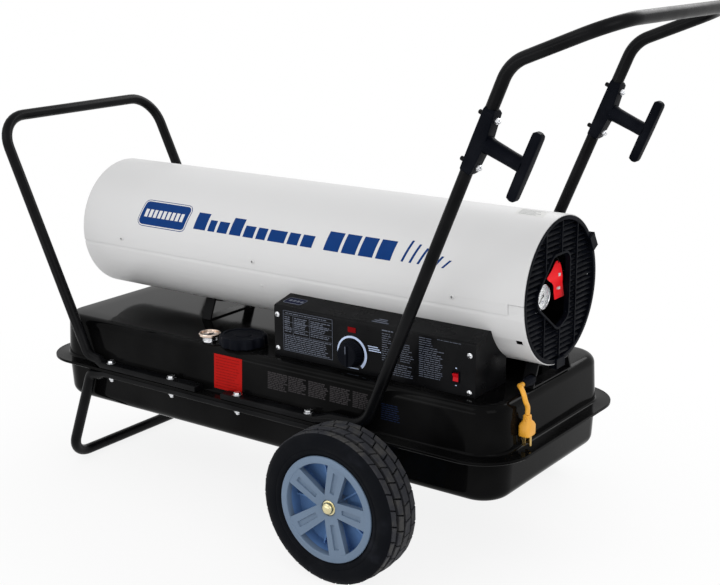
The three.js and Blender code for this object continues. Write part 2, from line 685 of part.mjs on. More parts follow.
// The lower half has a channel pressed across its underside, where the axle passes.
function tankLower() {
  const room = AXLE_RADIUS + AXLE_CHANNEL;
  const across = (radius, reach) => disc('y', radius, -reach, reach, 16).translate(AXLE_X, 0, AXLE_Z);
  const outside = tankOutside(TANK_BOTTOM_Z, -1, TANK_BOTTOM_EDGE);
  const form = loft([...outside, tankRing(SHEET / 2, TANK_SEAM_Z - 5)]);
  return cut(
    join(tankHalf(TANK_BOTTOM_Z, TANK_SEAM_Z - GAP / 2, TANK_BOTTOM_EDGE),
      common(across(room + SHEET, TANK_HALF_WIDTH), form)),
    across(room, TANK_HALF_WIDTH + 5),
    ...boltHoles(BOLT_X, TANK_SEAM_Z - 10, TANK_SEAM_Z + 10),
  );
}

function fillerNeck() {
  const inner = NECK_RADIUS - NECK_WALL;
  const [seat, top] = [TANK_TOP_Z + GAP, TANK_TOP_Z + NECK_HEIGHT];
  return revolve('z', [
    [inner, TANK_TOP_Z - 14], [NECK_RADIUS, TANK_TOP_Z - 14], [NECK_RADIUS, seat], [NECK_RADIUS + 5, seat],
    [NECK_RADIUS + 5, seat + 1.5], [NECK_RADIUS, seat + 1.5], [NECK_RADIUS, top], [inner, top],
    [inner, TANK_TOP_Z - 14],
  ]).translate(FILLER_X, FILLER_Y, 0);
}

// Moulded cap with finger lobes; its skirt goes down round the neck.
function fuelCap() {
  const bottom = TANK_TOP_Z + 2.2;
  const top = bottom + CAP_HEIGHT;
  const lobes = Array.from({ length: CAP_LOBES * CAP_LOBE_POINTS }, (_, i) => {
    const wave = Math.cos((i / CAP_LOBE_POINTS) * 2 * Math.PI);
    return [i * (360 / (CAP_LOBES * CAP_LOBE_POINTS)), CAP_RADIUS - 1.6 + 1.6 * Math.min(wave + 0.6, 1)];
  });
  const level = (inset, z) => lobes.map(([a, r]) => vec(...point(r - inset, a), z));
  const body = loft([level(0, bottom), level(0, top - 3), level(3, top)]);
  const recess = disc('z', CAP_RADIUS - 9, top - 1.6, top + 2);
  const inside = disc('z', NECK_RADIUS + 2, bottom - 2, TANK_TOP_Z + NECK_HEIGHT + GAP);
  const flangeRoom = disc('z', NECK_RADIUS + 5 + 2 * GAP, bottom - 2, bottom + 1);
  return cut(body, recess, inside, flangeRoom).translate(FILLER_X, FILLER_Y, 0);
}

// Threaded base, bezel with a dished dial, and the float rod that hangs in the tank.
function fuelGauge() {
  const seat = TANK_TOP_Z + GAP;
  const top = seat + FUEL_GAUGE_HEIGHT;
  const r = FUEL_GAUGE_RADIUS;
  return join(
    revolve('z', [
      [0, seat], [13, seat], [13, seat + 3], [11.5, seat + 4], [13, seat + 5.5],
      [13, top - 7.5], [r, top - 6], [r, top - 1.5], [r - 1.5, top], [r - 3, top - 0.8], [r - 3.6, top - 4],
      [0, top - 4],
    ]),
    disc('z', FUEL_STEM_RADIUS, seat - 10, seat + 1),
    disc('z', 2.5, seat - FLOAT_DEPTH, seat - 5),
    disc('z', 15, seat - FLOAT_DEPTH, seat - FLOAT_DEPTH + 22).translate(0, 0, -2),
  ).translate(FUEL_GAUGE_X, FUEL_GAUGE_Y, 0);
}

// A pointer in the XY plane, turning about Z at the origin, pointing along +Y.
const pointer = (length, tail) => join(
  alongZ(outline([[-1.4, -tail], [1.4, -tail], [0.5, length], [-0.5, length]]), 0, 0.8),
  disc('z', 2.6, 0, 1.6),
);

// ---------------------------------------------------------------- barrel

function upperShell() {
  const [from, to] = [-LAP_ANGLE, 180 + LAP_ANGLE];
  const skin = outline([
    ...arc(BARREL_RADIUS, from, to, SHELL_STEPS),
    ...arc(SHELL_INNER, to, from, SHELL_STEPS),
  ]);
  const lip = outline([
    ...arc(BARREL_RADIUS - 0.5, 0.5, 179.5, SHELL_STEPS),
    ...arc(SHELL_INNER - SHELL_LIP, 179.5, 0.5, SHELL_STEPS),
  ]);
  const notch = (side) => box(BARREL_X1 - LAP_NOTCH, side * BARREL_RADIUS - 6, -BARREL_RADIUS,
    BARREL_X1 + 5, side * BARREL_RADIUS + 6, 0);
  return cut(
    join(
      alongX(skin, BARREL_X0, BARREL_X1),
      alongX(lip, BARREL_X0, BARREL_X0 + SHEET),
      alongX(lip, BARREL_X1 - SHEET, BARREL_X1),
    ),
    notch(1), notch(-1),
  ).translate(0, 0, BARREL_Z);
}

function lowerShell() {
  const edge = LAP_ANGLE + 0.6;
  const step = LAP_ANGLE + 3;
  const skin = outline([
    ...arc(LAP_OUTER, -0.5, -edge, 2), ...arc(BARREL_RADIUS, -edge, -180 + edge, SHELL_STEPS),
    ...arc(LAP_OUTER, -180 + edge, -179.5, 2), ...arc(LAP_INNER, -179.5, -180 + step, 2),
    ...arc(SHELL_INNER, -180 + step, -step, SHELL_STEPS), ...arc(LAP_INNER, -step, -0.5, 2),
  ]);
  const lip = outline([
    ...arc(BARREL_RADIUS - 0.5, -edge - 1, -180 + edge + 1, SHELL_STEPS),
    ...arc(SHELL_INNER - SHELL_LIP, -180 + edge + 1, -edge - 1, SHELL_STEPS),
  ]);
  const hoseHole = (x) => disc('y', HOSE_RADIUS + 2, 0.9 * BARREL_RADIUS, 1.1 * BARREL_RADIUS)
    .rotateX(radians(HOSE_HOLE_ANGLE)).translate(x, 0, 0);
  const slot = (x, length, degrees, height) => box(
    x - length / 2, 0.9 * BARREL_RADIUS, -height / 2, x + length / 2, 1.1 * BARREL_RADIUS, height / 2,
  ).rotateX(radians(degrees));
  return cut(
    join(
      alongX(skin, BARREL_X0, BARREL_X1),
      alongX(lip, BARREL_X0, BARREL_X0 + SHEET),
      alongX(lip, BARREL_X1 - SHEET, BARREL_X1),
    ),
    ...HOSE_HOLES_X.map(hoseHole),
    slot(BARREL_X1 - 16, 12, -180 + 32, 9),
    slot(BARREL_X1 - 40, 26, -180 + 58, 3),
  ).translate(0, 0, BARREL_Z);
}

// A folded strap: flat on the tank, legs leaning in, and a saddle under the barrel.
function barrelSupport(x) {
  const t = 2.5;
  const r = BARREL_RADIUS + GAP;
  const base = TANK_TOP_Z + GAP;
  const half = THREE.MathUtils.radToDeg(Math.asin(SUPPORT_HALF_TOP / r));
  const saddle = arc(r, -90 + half, -90 - half, 8, 0, BARREL_Z);
  const outer = [[-SUPPORT_HALF_BASE, base], [SUPPORT_HALF_BASE, base], ...saddle];
  const under = arc(r + t, -90 - half + 2, -90 + half - 2, 8, 0, BARREL_Z);
  const shape = outline(outer);
  const opening = [[SUPPORT_HALF_BASE - 2 * t, base + t], [-SUPPORT_HALF_BASE + 2 * t, base + t], ...under];
  shape.holes.push(path(opening));
  return alongX(shape, x - SUPPORT_WIDTH / 2, x + SUPPORT_WIDTH / 2);
}

// ---------------------------------------------------------------- combustion chamber and burner

function combustionChamber() {
  const [r, mouth] = [CHAMBER_RADIUS, CHAMBER_MOUTH_RADIUS];
  return revolve('x', [
    [mouth, CHAMBER_X0 + 4], [mouth + 3, CHAMBER_X0], [mouth + 6, CHAMBER_X0 + 2],
    [r, CHAMBER_X0 + CHAMBER_NECK], [r, CHAMBER_X1], [CHAMBER_INLET_RADIUS, CHAMBER_X1],
    [CHAMBER_INLET_RADIUS, CHAMBER_X1 - SHEET], [r - SHEET, CHAMBER_X1 - SHEET],
    [r - SHEET, CHAMBER_X0 + CHAMBER_NECK], [mouth + 1.5, CHAMBER_X0 + 7], [mouth, CHAMBER_X0 + 4],
  ]).translate(0, 0, BARREL_Z);
}

// A band with four arms that holds a round body in the middle of the barrel.
function spider(inner, x, width) {
  const sides = facets(inner);
  const root = inner * Math.cos(Math.PI / sides) + 0.8;
  const reach = Math.sqrt((SHELL_INNER - 2 * GAP) ** 2 - SPIDER_ARM ** 2) - GAP;
  const arms = [45, 135, 225, 315].map((a) =>
    box(x, root, -SPIDER_ARM, x + width, reach, SPIDER_ARM).rotateX(radians(a)));
  return join(tube('x', inner + 1.6, inner, x, x + width, sides), ...arms).translate(0, 0, BARREL_Z);
}

// The dished baffle in the outlet, on three legs that reach the chamber's wall.
function outletBaffle() {
  const dish = revolve('x', [
    [0, BAFFLE_X - BAFFLE_DISH], [BAFFLE_RADIUS * 0.6, BAFFLE_X - BAFFLE_DISH * 0.7],
    [BAFFLE_RADIUS, BAFFLE_X + BAFFLE_DISH * 0.3], [BAFFLE_RADIUS - 1, BAFFLE_X + BAFFLE_DISH * 0.3 + SHEET],
    [BAFFLE_RADIUS * 0.6, BAFFLE_X - BAFFLE_DISH * 0.7 + SHEET], [0, BAFFLE_X - BAFFLE_DISH + SHEET],
  ]);
  const flats = (CHAMBER_RADIUS - SHEET) * Math.cos(Math.PI / facets(CHAMBER_RADIUS)) - GAP;
  const reach = Math.sqrt(flats ** 2 - BAFFLE_PAD ** 2);
  const [legX, footX] = [BAFFLE_X + 1, BAFFLE_X + BAFFLE_FOOT];
  const legs = BAFFLE_LEG_ANGLES.flatMap((a) => [
    box(legX, BAFFLE_RADIUS * 0.87, -BAFFLE_PAD, legX + SHEET, reach, BAFFLE_PAD),
    box(legX, reach - SHEET, -BAFFLE_PAD, footX, reach, BAFFLE_PAD),
  ].map((part) => part.rotateX(radians(a))));
  return join(dish, ...legs).translate(0, 0, BARREL_Z);
}

// The head that closes the chamber: a cone of swirl vanes round the nozzle's bore.
function burnerHead() {
  const face = CHAMBER_X1 + GAP;
  const bore = NOZZLE_RADIUS + GAP;
  const [cone, rear] = [face + HEAD_CONE, face + HEAD_CONE + HEAD_SPIGOT];
  const rim = CHAMBER_INLET_RADIUS + HEAD_COLLAR;
  const cup = revolve('x', [
    [bore, face], [rim, face], [rim, face + SHEET],
    [CHAMBER_INLET_RADIUS, face + SHEET], [CHAMBER_INLET_RADIUS * 0.87, cone], [bore + HEAD_SPIGOT / 2, cone],
    [bore + HEAD_SPIGOT / 2, rear], [bore, rear], [bore, face],
  ], 16);
  const slot = box(face - 1, bore + HEAD_SPIGOT, -SHEET, rear, CHAMBER_INLET_RADIUS * 0.8, SHEET);
  const slots = Array.from({ length: SWIRL_SLOTS }, (_, i) =>
    slot.clone().rotateX(radians((360 / SWIRL_SLOTS) * i)));
  return cut(cup, ...slots, ...electrodeHoles(face)).translate(0, 0, BARREL_Z);
}

const electrodeHoles = (face) => ELECTRODE_ANGLES.map((a) =>
  disc('x', ELECTRODE_RADIUS + GAP, face - 5, face + 30, 8).translate(0, ...point(ELECTRODE_PITCH, a)));

function nozzleAdapter() {
  const face = CHAMBER_X1 + GAP;
  const rear = face + NOZZLE_LENGTH;
  return join(
    revolve('x', [
      [0, face - 12], [3, face - 12], [6, face - 4], [NOZZLE_RADIUS, face - 1],
      [NOZZLE_RADIUS, face + 24], [0, face + 24],
    ]),
    disc('x', NOZZLE_RADIUS + 3, face + 22 + GAP, rear, 6),
    disc('y', 5, -NOZZLE_PORT_REACH, 0).translate(NOZZLE_PORT_X, 0, 0),
    disc('z', 5, -NOZZLE_PORT_REACH, 0).translate(NOZZLE_PORT_X, 0, 0),
  ).translate(0, 0, BARREL_Z);
}

// Two electrodes in ceramic sleeves, joined by one bridge behind the head.
function igniter() {
  const face = CHAMBER_X1 + GAP;
  const rods = ELECTRODE_ANGLES.flatMap((a) => [
    disc('x', ELECTRODE_RADIUS, face - 8, face - 8 + ELECTRODE_LENGTH, 8),
    disc('x', 1, face - 20, face, 4),
  ].map((rod) => rod.translate(0, ...point(ELECTRODE_PITCH, a))));
  const bridge = outline([
    ...arc(ELECTRODE_PITCH + 5, ELECTRODE_ANGLES[0] - 12, ELECTRODE_ANGLES[1] + 12, 4),
    ...arc(ELECTRODE_PITCH - 5, ELECTRODE_ANGLES[1] + 12, ELECTRODE_ANGLES[0] - 12, 4),
  ]);
  return join(...rods, alongX(bridge, face + 14 + GAP, face + 20)).translate(0, 0, BARREL_Z);
}

// ---------------------------------------------------------------- motor, fan and pump

// One blade: sections turn from steep at the hub to flat at the tip.
function fanBlade(angle) {
  const stations = [0.16, 0.55, 1].map((share) => {
    const r = FAN_RADIUS * share;
    const chord = BLADE_ROOT_CHORD + BLADE_WIDENING * share;
    const pitch = radians(58 - 30 * share);
    const skew = BLADE_SKEW * share * share;
    const [crown, under] = [-BLADE_CAMBER, BLADE_THICKNESS - BLADE_CAMBER];
    const section = [[-0.5, 0], [-0.2, crown], [0.2, crown], [0.5, 0], [0.2, under], [-0.2, under]];
    return section.map(([c, camber]) => {
      const along = chord * c + skew;
      const across = along * Math.cos(pitch);
      return vec(along * Math.sin(pitch) + camber, across, Math.sqrt(Math.max(r * r - across * across, 1)));
    });
  });
  return loft(stations).rotateX(radians(angle));
}

function fan() {
  const half = FAN_HUB_LENGTH / 2;
  const hubBody = revolve('x', [
    [0, -half - 3], [FAN_HUB_RADIUS - 4, -half], [FAN_HUB_RADIUS, -half + 4], [FAN_HUB_RADIUS, half],
    [0, half],
  ]);
  const blades = Array.from({ length: FAN_BLADES }, (_, i) => fanBlade((360 / FAN_BLADES) * i));
  const bore = disc('x', SHAFT_RADIUS + GAP, -half + 3, half + 5, 12);
  return cut(join(hubBody, ...blades), bore).translate(FAN_X, 0, BARREL_Z);
}

const SHAFT_X0 = FAN_X - FAN_HUB_LENGTH / 2 + 3 + GAP;
const SHAFT_X1 = PUMP_X1 - 3;
const motorShaft = () => disc('x', SHAFT_RADIUS, SHAFT_X0, SHAFT_X1, 12).translate(0, 0, BARREL_Z);
const shaftBore = (x0, x1) => disc('x', SHAFT_RADIUS + GAP, x0, x1, 12);

function motor() {
  const r = MOTOR_RADIUS;
  const can = revolve('x', [
    [0, MOTOR_X0 - 5], [13, MOTOR_X0 - 5], [13, MOTOR_X0], [r - 12, MOTOR_X0 + 2], [r - 4, MOTOR_X0 + 10],
    [r, MOTOR_X0 + 12], [r, MOTOR_X1 - 12], [r - 4, MOTOR_X1 - 10], [r - 4, MOTOR_X1], [0, MOTOR_X1],
  ]);
  return cut(can, shaftBore(MOTOR_X0 - 10, MOTOR_X1 + 5)).translate(0, 0, BARREL_Z);
}

function pumpBody() {
  const x0 = MOTOR_X1 + GAP;
  const body = disc('x', PUMP_RADIUS, x0, PUMP_X1);
  return cut(body, shaftBore(x0 - 5, SHAFT_X1 + GAP)).translate(0, 0, BARREL_Z);
}

// The filter cover on the pump, with the gauge's boss, the relief nut and the hose outlet.
function pumpEndCover() {
  const x0 = PUMP_X1 + GAP;
  const [gy, gz] = [PRESSURE_GAUGE_Y, PRESSURE_GAUGE_Z - BARREL_Z];
  const [ny, nz] = [PUMP_NUT_Y, PUMP_NUT_Z - BARREL_Z];
  const body = revolve('x', [
    [0, x0], [PUMP_RADIUS, x0], [PUMP_RADIUS, COVER_FACE_X - 5], [PUMP_RADIUS - 5, COVER_FACE_X],
    [0, COVER_FACE_X],
  ]);
  return join(
    body,
    disc('x', 9, COVER_FACE_X - 1, COVER_FACE_X + 6).translate(0, gy, gz),
    disc('x', 7.5, COVER_FACE_X - 1, COVER_FACE_X + 5, 6).translate(0, ny, nz),
    disc('x', 4, COVER_FACE_X - 1, COVER_FACE_X + 11).translate(0, ny, nz),
    disc('x', 8, COVER_FACE_X - 1, COVER_FACE_X + 4).translate(0, 20, 12),
    disc('y', 6, -PUMP_PORT_REACH, -PUMP_RADIUS + 8).translate(PUMP_PORT_X, 0, 0),
  ).translate(0, 0, BARREL_Z);
}

const GAUGE_X0 = COVER_FACE_X + 6 + GAP;
const GAUGE_CASE_X = GAUGE_X0 + GAUGE_STEM_LENGTH;
const GAUGE_DIAL_X = GAUGE_CASE_X + PRESSURE_GAUGE_DEPTH - 4;

function pressureGauge() {
  const r = PRESSURE_GAUGE_RADIUS;
  const front = GAUGE_CASE_X + PRESSURE_GAUGE_DEPTH;
  return revolve('x', [
    [0, GAUGE_X0], [6, GAUGE_X0], [6, GAUGE_CASE_X], [r - 1, GAUGE_CASE_X], [r - 1, front - 5],
    [r, front - 4.5], [r, front], [r - 2.6, front], [r - 3, GAUGE_DIAL_X], [0, GAUGE_DIAL_X],
  ], 20).translate(0, PRESSURE_GAUGE_Y, PRESSURE_GAUGE_Z);
}

const pressurePointer = () => pointer(14, 5).rotateX(Math.PI / 2).rotateZ(Math.PI / 2);

// ---------------------------------------------------------------- fan guard

function fanGuard() {
  const outer = (SHELL_INNER - SHELL_LIP) * Math.cos(Math.PI / (2 * SHELL_STEPS)) - GAP;
  const back = BARREL_X1 - SHEET - GUARD_DEPTH;
  const front = BARREL_X1 + 1;
  const inner = outer - GUARD_RIM;
  const rim = tube('x', outer, inner, back, front, 20);
  const window = rounded(WINDOW_CORNERS, WINDOW_BEND, 3);
  const frameOutline = rounded(WINDOW_CORNERS, WINDOW_BEND + WINDOW_RIM, 3, WINDOW_RIM);
  const bars = [];
  for (let z = -inner + SLAT_PITCH; z < inner - SLAT_PITCH / 2; z += SLAT_PITCH) {
    const half = Math.sqrt(inner * inner - z * z) + 1;
    const depth = GUARD_DEPTH - 5;
    bars.push(new THREE.BoxGeometry(depth, 2 * half, SLAT_THICKNESS)
      .rotateY(radians(SLAT_TILT)).translate(front - 1 - GUARD_DEPTH / 2, 0, z));
  }
  for (let y = -RIB_PITCH; y <= RIB_PITCH; y += RIB_PITCH) {
    const half = Math.sqrt(inner * inner - y * y) + 1;
    bars.push(box(front - 4, y - RIB_THICKNESS / 2, -half, front - 1, y + RIB_THICKNESS / 2, half));
  }
  const grille = [rim, ...bars, alongX(outline(frameOutline), front - GUARD_DEPTH + 1, front)]
    .map(toSolid).reduce((a, b) => a.add(b)).subtract(toSolid(alongX(outline(window), back - 5, front + 5)));
  const half = CLIP_WIDTH / 2;
  const [seatX, clipX] = [BARREL_X1 + GAP, BARREL_X1 + GAP + CLIP_THICKNESS];
  const [seatY, clipY] = [BARREL_RADIUS + 1, BARREL_RADIUS + 1 + CLIP_THICKNESS];
  const clips = CLIP_ANGLES.flatMap((a) => [
    box(seatX, inner + 1, -half, clipX, clipY, half),
    box(BARREL_X1 - CLIP_GRIP, seatY, -half, clipX, clipY, half),
  ].map((g) => g.rotateX(radians(a))));
  return fromSolid(clips.map(toSolid).reduce((a, b) => a.add(b), grille)).translate(0, 0, BARREL_Z);
}

// ---------------------------------------------------------------- covers and controls

// The cover's end seen along X: front, shoulder, lip at the barrel, and down behind.
function coverProfile() {
  const r = BARREL_RADIUS + GAP;
  const bottom = TANK_TOP_Z + GAP;
  const lipAngle = THREE.MathUtils.radToDeg(Math.atan2(COVER_LIP_Z - BARREL_Z, -COVER_LIP_Y));
  const backRise = Math.sqrt(r * r - COVER_BACK_Y ** 2);
  const backAngle = THREE.MathUtils.radToDeg(Math.atan2(-backRise, -COVER_BACK_Y));
  const hug = arc(r, lipAngle, backAngle, 6, 0, BARREL_Z);
  return [[-COVER_BACK_Y, bottom], [-COVER_Y, bottom], [-COVER_Y, COVER_SHOULDER_Z], ...hug];
}

function coverShell() {
  const bottom = TANK_TOP_Z + GAP;
  const body = alongX(outline(coverProfile().reverse()), COVER_X0, COVER_X1);
  const reach = SHEET + 0.5;
  const hollow = alongX(
    outline([
      [-COVER_BACK_Y + 5, bottom - 5], [-COVER_Y + SHEET, bottom - 5],
      [-COVER_Y + SHEET, COVER_SHOULDER_Z - SHEET],
      [-COVER_LIP_Y + 10, COVER_LIP_Z - SHEET + 2], [-COVER_BACK_Y + 5, COVER_LIP_Z],
    ].reverse()),
    COVER_X0 + reach, COVER_X1 - reach,
  );
  return cut(body, hollow);
}

const BODY_STEP = 1.5; // the switch's body inside its bezel, per side

const centred = (x, z, width, height) =>
  outline(rectangle(x - width / 2, z - height / 2, x + width / 2, z + height / 2));

const throughCover = (shape) => alongY(shape, -COVER_Y - 5, -COVER_Y + 5);

function sideCover() {
  const bodyStep = 2 * (BODY_STEP - GAP);
  return cut(
    coverShell(),
    throughCover(outline(arc(5, 0, 360, 12).slice(1).map(([x, z]) => [KNOB_X + x, KNOB_Z + z]))),
    throughCover(centred(SWITCH_X, SWITCH_Z, SWITCH_WIDTH - bodyStep, SWITCH_HEIGHT - bodyStep)),
    throughCover(centred(DISPLAY_X, DISPLAY_Z, DISPLAY_WIDTH - 2 + 2 * GAP, DISPLAY_HEIGHT - 2 + 2 * GAP)),
  );
}

const farSideCover = () => closed(coverShell().applyMatrix4(new THREE.Matrix4().makeScale(1, -1, 1)));

// The knob turns about Y at the origin; its shaft goes through the cover into the board.
function thermostatKnob() {
  const r = KNOB_RADIUS;
  return join(
    revolve('y', [
      [0, -KNOB_DEPTH], [r - 4, -KNOB_DEPTH], [r - 2, -KNOB_DEPTH + 1.5], [r - 0.5, -2], [r, -GAP], [0, -GAP],
    ], 20),
    box(-2.5, -KNOB_DEPTH - 2.5, -r + 5, 2.5, -KNOB_DEPTH + 1, r - 5),
    disc('y', 3, -2, SHEET + 6, 12),
  );
}

function switchBezel() {
  const face = -COVER_Y - GAP;
  const shell = join(
    alongY(centred(0, 0, SWITCH_WIDTH, SWITCH_HEIGHT), face - 1.8, face),
    alongY(centred(0, 0, SWITCH_WIDTH - 2 * BODY_STEP, SWITCH_HEIGHT - 2 * BODY_STEP), face - 1, face + 16),
  );
  const well = alongY(centred(0, 0, ROCKER_WIDTH + 2 * GAP, ROCKER_HEIGHT + 2 * GAP), face - 5, face + 8);
  return cut(shell, well).translate(SWITCH_X, 0, SWITCH_Z);
}

// The rocker turns about X at the origin; its face is a shallow V.
function rockerSwitch() {
  const h = ROCKER_HEIGHT / 2 - 0.4;
  const face = [[-3.5, h - 0.6], [-1.6, 0], [-3.5, -h + 0.6]];
  const shape = outline([...face, [2.2, -h + 1.4], [3.4, 0], [2.2, h - 1.4]]);
  return alongX(shape, -ROCKER_WIDTH / 2, ROCKER_WIDTH / 2);
}

function displayWindow() {
  const face = -COVER_Y - GAP;
  return join(
    alongY(centred(0, 0, DISPLAY_WIDTH, DISPLAY_HEIGHT), face - 1, face),
    alongY(centred(0, 0, DISPLAY_WIDTH - 2, DISPLAY_HEIGHT - 2), face - 0.5, face + 8),
  ).translate(DISPLAY_X, 0, DISPLAY_Z);
}

// The ignition board stands off the cover and carries the thermostat's potentiometer.
function controlBoard() {
  const face = -COVER_Y + SHEET + GAP;
  const back = face + 10;
  const [x0, z0] = [KNOB_X - 30, KNOB_Z - 22];
  const [x1, z1] = [x0 + BOARD_WIDTH, z0 + BOARD_HEIGHT];
  const board = box(x0, back, z0, x1, back + 1.6, z1);
  const posts = [[x0 + 5, z0 + 5], [x1 - 5, z0 + 5], [x0 + 5, z1 - 5], [x1 - 5, z1 - 5]]
    .map(([x, z]) => disc('y', 3, face, back + 1, 8).translate(x, 0, z));
  const parts = [
    box(KNOB_X - 8, back - 3, KNOB_Z - 8, KNOB_X + 8, back + 1, KNOB_Z + 8),
    box(x0 + 62, back + 1, z0 + 8, x0 + 92, back + 16, z0 + 34),
    box(x0 + 50, back - 5, z0 + 40, x0 + 74, back + 1, z0 + 48),
  ];
  const shaftHole = disc('y', 3 + GAP, face - 5, face + 20, 12).translate(KNOB_X, 0, KNOB_Z);
  return cut(join(board, ...posts, ...parts), shaftHole);
}

// ---------------------------------------------------------------- cord

const smooth = (points) => new THREE.CatmullRomCurve3(points.map((p) => vec(...p)), false, 'centripetal');

function stationsOn(curve, count) {
  return Array.from({ length: count + 1 }, (_, i) => ({
    at: curve.getPointAt(i / count),
    way: curve.getTangentAt(i / count),
  }));
}

// A moulded bush in the rear support, tapering to the cord.
function strainRelief() {
  const [outer, inner] = [CORD_POINTS[0][1] + GAP, RELIEF_LENGTH - SUPPORT_HALF_BASE];
  const shoulder = inner - RELIEF_LENGTH / 2;
  return revolve('y', [
    [0, outer], [CORD_RADIUS + 2, outer], [RELIEF_RADIUS, -SUPPORT_HALF_BASE - 1], [RELIEF_RADIUS, shoulder],
    [CORD_RADIUS + 1, shoulder], [CORD_RADIUS + 1, inner], [0, inner],
  ]).translate(RELIEF_X, 0, RELIEF_Z);
}

const reliefHole = () => disc('y', RELIEF_RADIUS + 2 * GAP, -SUPPORT_HALF_BASE - 20, -SUPPORT_HALF_BASE + 20)
  .translate(RELIEF_X, 0, RELIEF_Z);

const hose = (points, radius, steps) =>
  sweep(stationsOn(smooth(points), steps), () => ring(radius, HOSE_SIDES), vec(1, 0, 0));

// The plug hangs blades down from the end of the cord.
function powerPlug() {
  const [x, y, z] = CORD_POINTS.at(-1);
  const top = z - GAP;
  const level = (w, t, at) => rounded(rectangle(-t / 2, -w / 2, t / 2, w / 2), Math.min(t, w) * 0.3, 2)
    .map(([u, v]) => vec(u, v, at));
  const body = loft([
    level(11, 11, top), level(13, 12, top - 9), level(PLUG_WIDTH, PLUG_THICKNESS, top - 17),
    level(PLUG_WIDTH, PLUG_THICKNESS, top - PLUG_LENGTH),
  ]);
  const end = top - PLUG_LENGTH;
  const blades = [-6.3, 6.3].map((at) => box(-5, at - 0.8, end - BLADE_LENGTH, 1.5, at + 0.8, end + 1));
  const pin = disc('z', 2.4, end - BLADE_LENGTH - 2, end + 1, 8).translate(6, 0, 0);
  return join(body, ...blades, pin).translate(x, y, 0);
}

// ---------------------------------------------------------------- hoses

// A point on the middle line of a hose's hole, a distance from the barrel's axis.
function throughShell(x, radius) {
  const [y, z] = point(radius, HOSE_HOLE_ANGLE);
  return [x, y, BARREL_Z + z];
}

// Air goes from the pump out through the shell, along under the side cover and back in to the nozzle.
function airHoseRoute() {
  const [out, back] = HOSE_HOLES_X;
  return [
    [PUMP_PORT_X, -PUMP_PORT_REACH - GAP, BARREL_Z],
    [PUMP_PORT_X, -PUMP_PORT_REACH - 12, BARREL_Z],
    [PUMP_PORT_X - 10, -PUMP_PORT_REACH - 30, BARREL_Z - 18],
    throughShell(out, BARREL_RADIUS - 14),
    throughShell(out, BARREL_RADIUS + 6),
    [out - 10, HOSE_RUN_Y, HOSE_RUN_Z + 10],
    [out - 30, HOSE_RUN_Y, HOSE_RUN_Z],
    [back + 34, HOSE_RUN_Y, HOSE_RUN_Z],
    [back + 10, HOSE_RUN_Y, HOSE_RUN_Z + 10],
    throughShell(back, BARREL_RADIUS + 6),
    throughShell(back, BARREL_RADIUS - 14),
    [NOZZLE_PORT_X + 6, -NOZZLE_PORT_REACH - 32, BARREL_Z - 16],
    [NOZZLE_PORT_X, -NOZZLE_PORT_REACH - 14, BARREL_Z],
    [NOZZLE_PORT_X, -NOZZLE_PORT_REACH - GAP, BARREL_Z],
  ];
}

// Fuel comes up out of the tank and in through the shell to the nozzle from below.
function fuelHoseRoute() {
  const inlet = HOSE_HOLES_X[2];
  return [
    [...PICK_UP, TANK_TOP_Z - PICK_UP_DEPTH],
    [...PICK_UP, TANK_TOP_Z - 6],
    [...PICK_UP, TANK_TOP_Z + 14],
    [PICK_UP[0] + 22, PICK_UP[1] - 2, TANK_TOP_Z + 40],
    [inlet - 34, HOSE_RUN_Y - 2, TANK_TOP_Z + 48],
    throughShell(inlet, BARREL_RADIUS + 6),
    throughShell(inlet, BARREL_RADIUS - 14),
    [NOZZLE_PORT_X - 4, -56, BARREL_Z - 64],
    [NOZZLE_PORT_X, -14, BARREL_Z - NOZZLE_PORT_REACH - 30],
    [NOZZLE_PORT_X, 0, BARREL_Z - NOZZLE_PORT_REACH - 14],
    [NOZZLE_PORT_X, 0, BARREL_Z - NOZZLE_PORT_REACH - GAP],
  ];
}

// ---------------------------------------------------------------- assembly

const finish = (color, roughness, metalness) => ({ color, roughness, metalness });
const LOOK = {
  blackGloss: finish(0x0c0c0e, 0.18, 0.1),
  blackSatin: finish(0x151517, 0.42, 0.2),
  blackPlastic: finish(0x101114, 0.6, 0),
  whitePaint: finish(0xd3d4d2, 0.35, 0.05),
  zinc: finish(0xb9bcc0, 0.35, 0.9),
  yellowZinc: finish(0xc9b26a, 0.35, 0.8),
  chrome: finish(0xd8d8da, 0.12, 1),
  steel: finish(0x9a9da1, 0.4, 0.85),
  stainless: finish(0xa8a49c, 0.35, 0.9),
  aluminium: finish(0xb4b6b8, 0.45, 0.8),
  brass: finish(0xb8924a, 0.35, 0.9),
  hubBlue: finish(0x7a8aa6, 0.45, 0),
  rubber: finish(0x17181a, 0.8, 0),
  red: finish(0xc0242a, 0.4, 0),
  ceramic: finish(0xe4e0d6, 0.4, 0),
  board: finish(0x1f5a3a, 0.5, 0),
  cordYellow: finish(0xe0a835, 0.5, 0),
};

const heater = new THREE.Group();

function add(name, look, geometry, parent = heater) {
  const mesh = new THREE.Mesh(closed(geometry), new THREE.MeshStandardMaterial(LOOK[look]));
  mesh.name = name;
  parent.add(mesh);
  return mesh;
}

function group(position, parent = heater) {
  const g = new THREE.Group();
  g.position.set(...position);
  parent.add(g);
  return g;
}

// Tank and what is on it
add('tank_upper', 'blackGloss', tankUpper());
add('tank_lower', 'blackGloss', tankLower());
add('filler_neck', 'steel', fillerNeck());
add('fuel_cap', 'blackPlastic', fuelCap());
add('fuel_gauge', 'chrome', fuelGauge());
const fuelDial = group([FUEL_GAUGE_X, FUEL_GAUGE_Y, TANK_TOP_Z + GAP + FUEL_GAUGE_HEIGHT - 4 + GAP]);
add('fuel_gauge_pointer', 'red', pointer(11, 4), fuelDial);

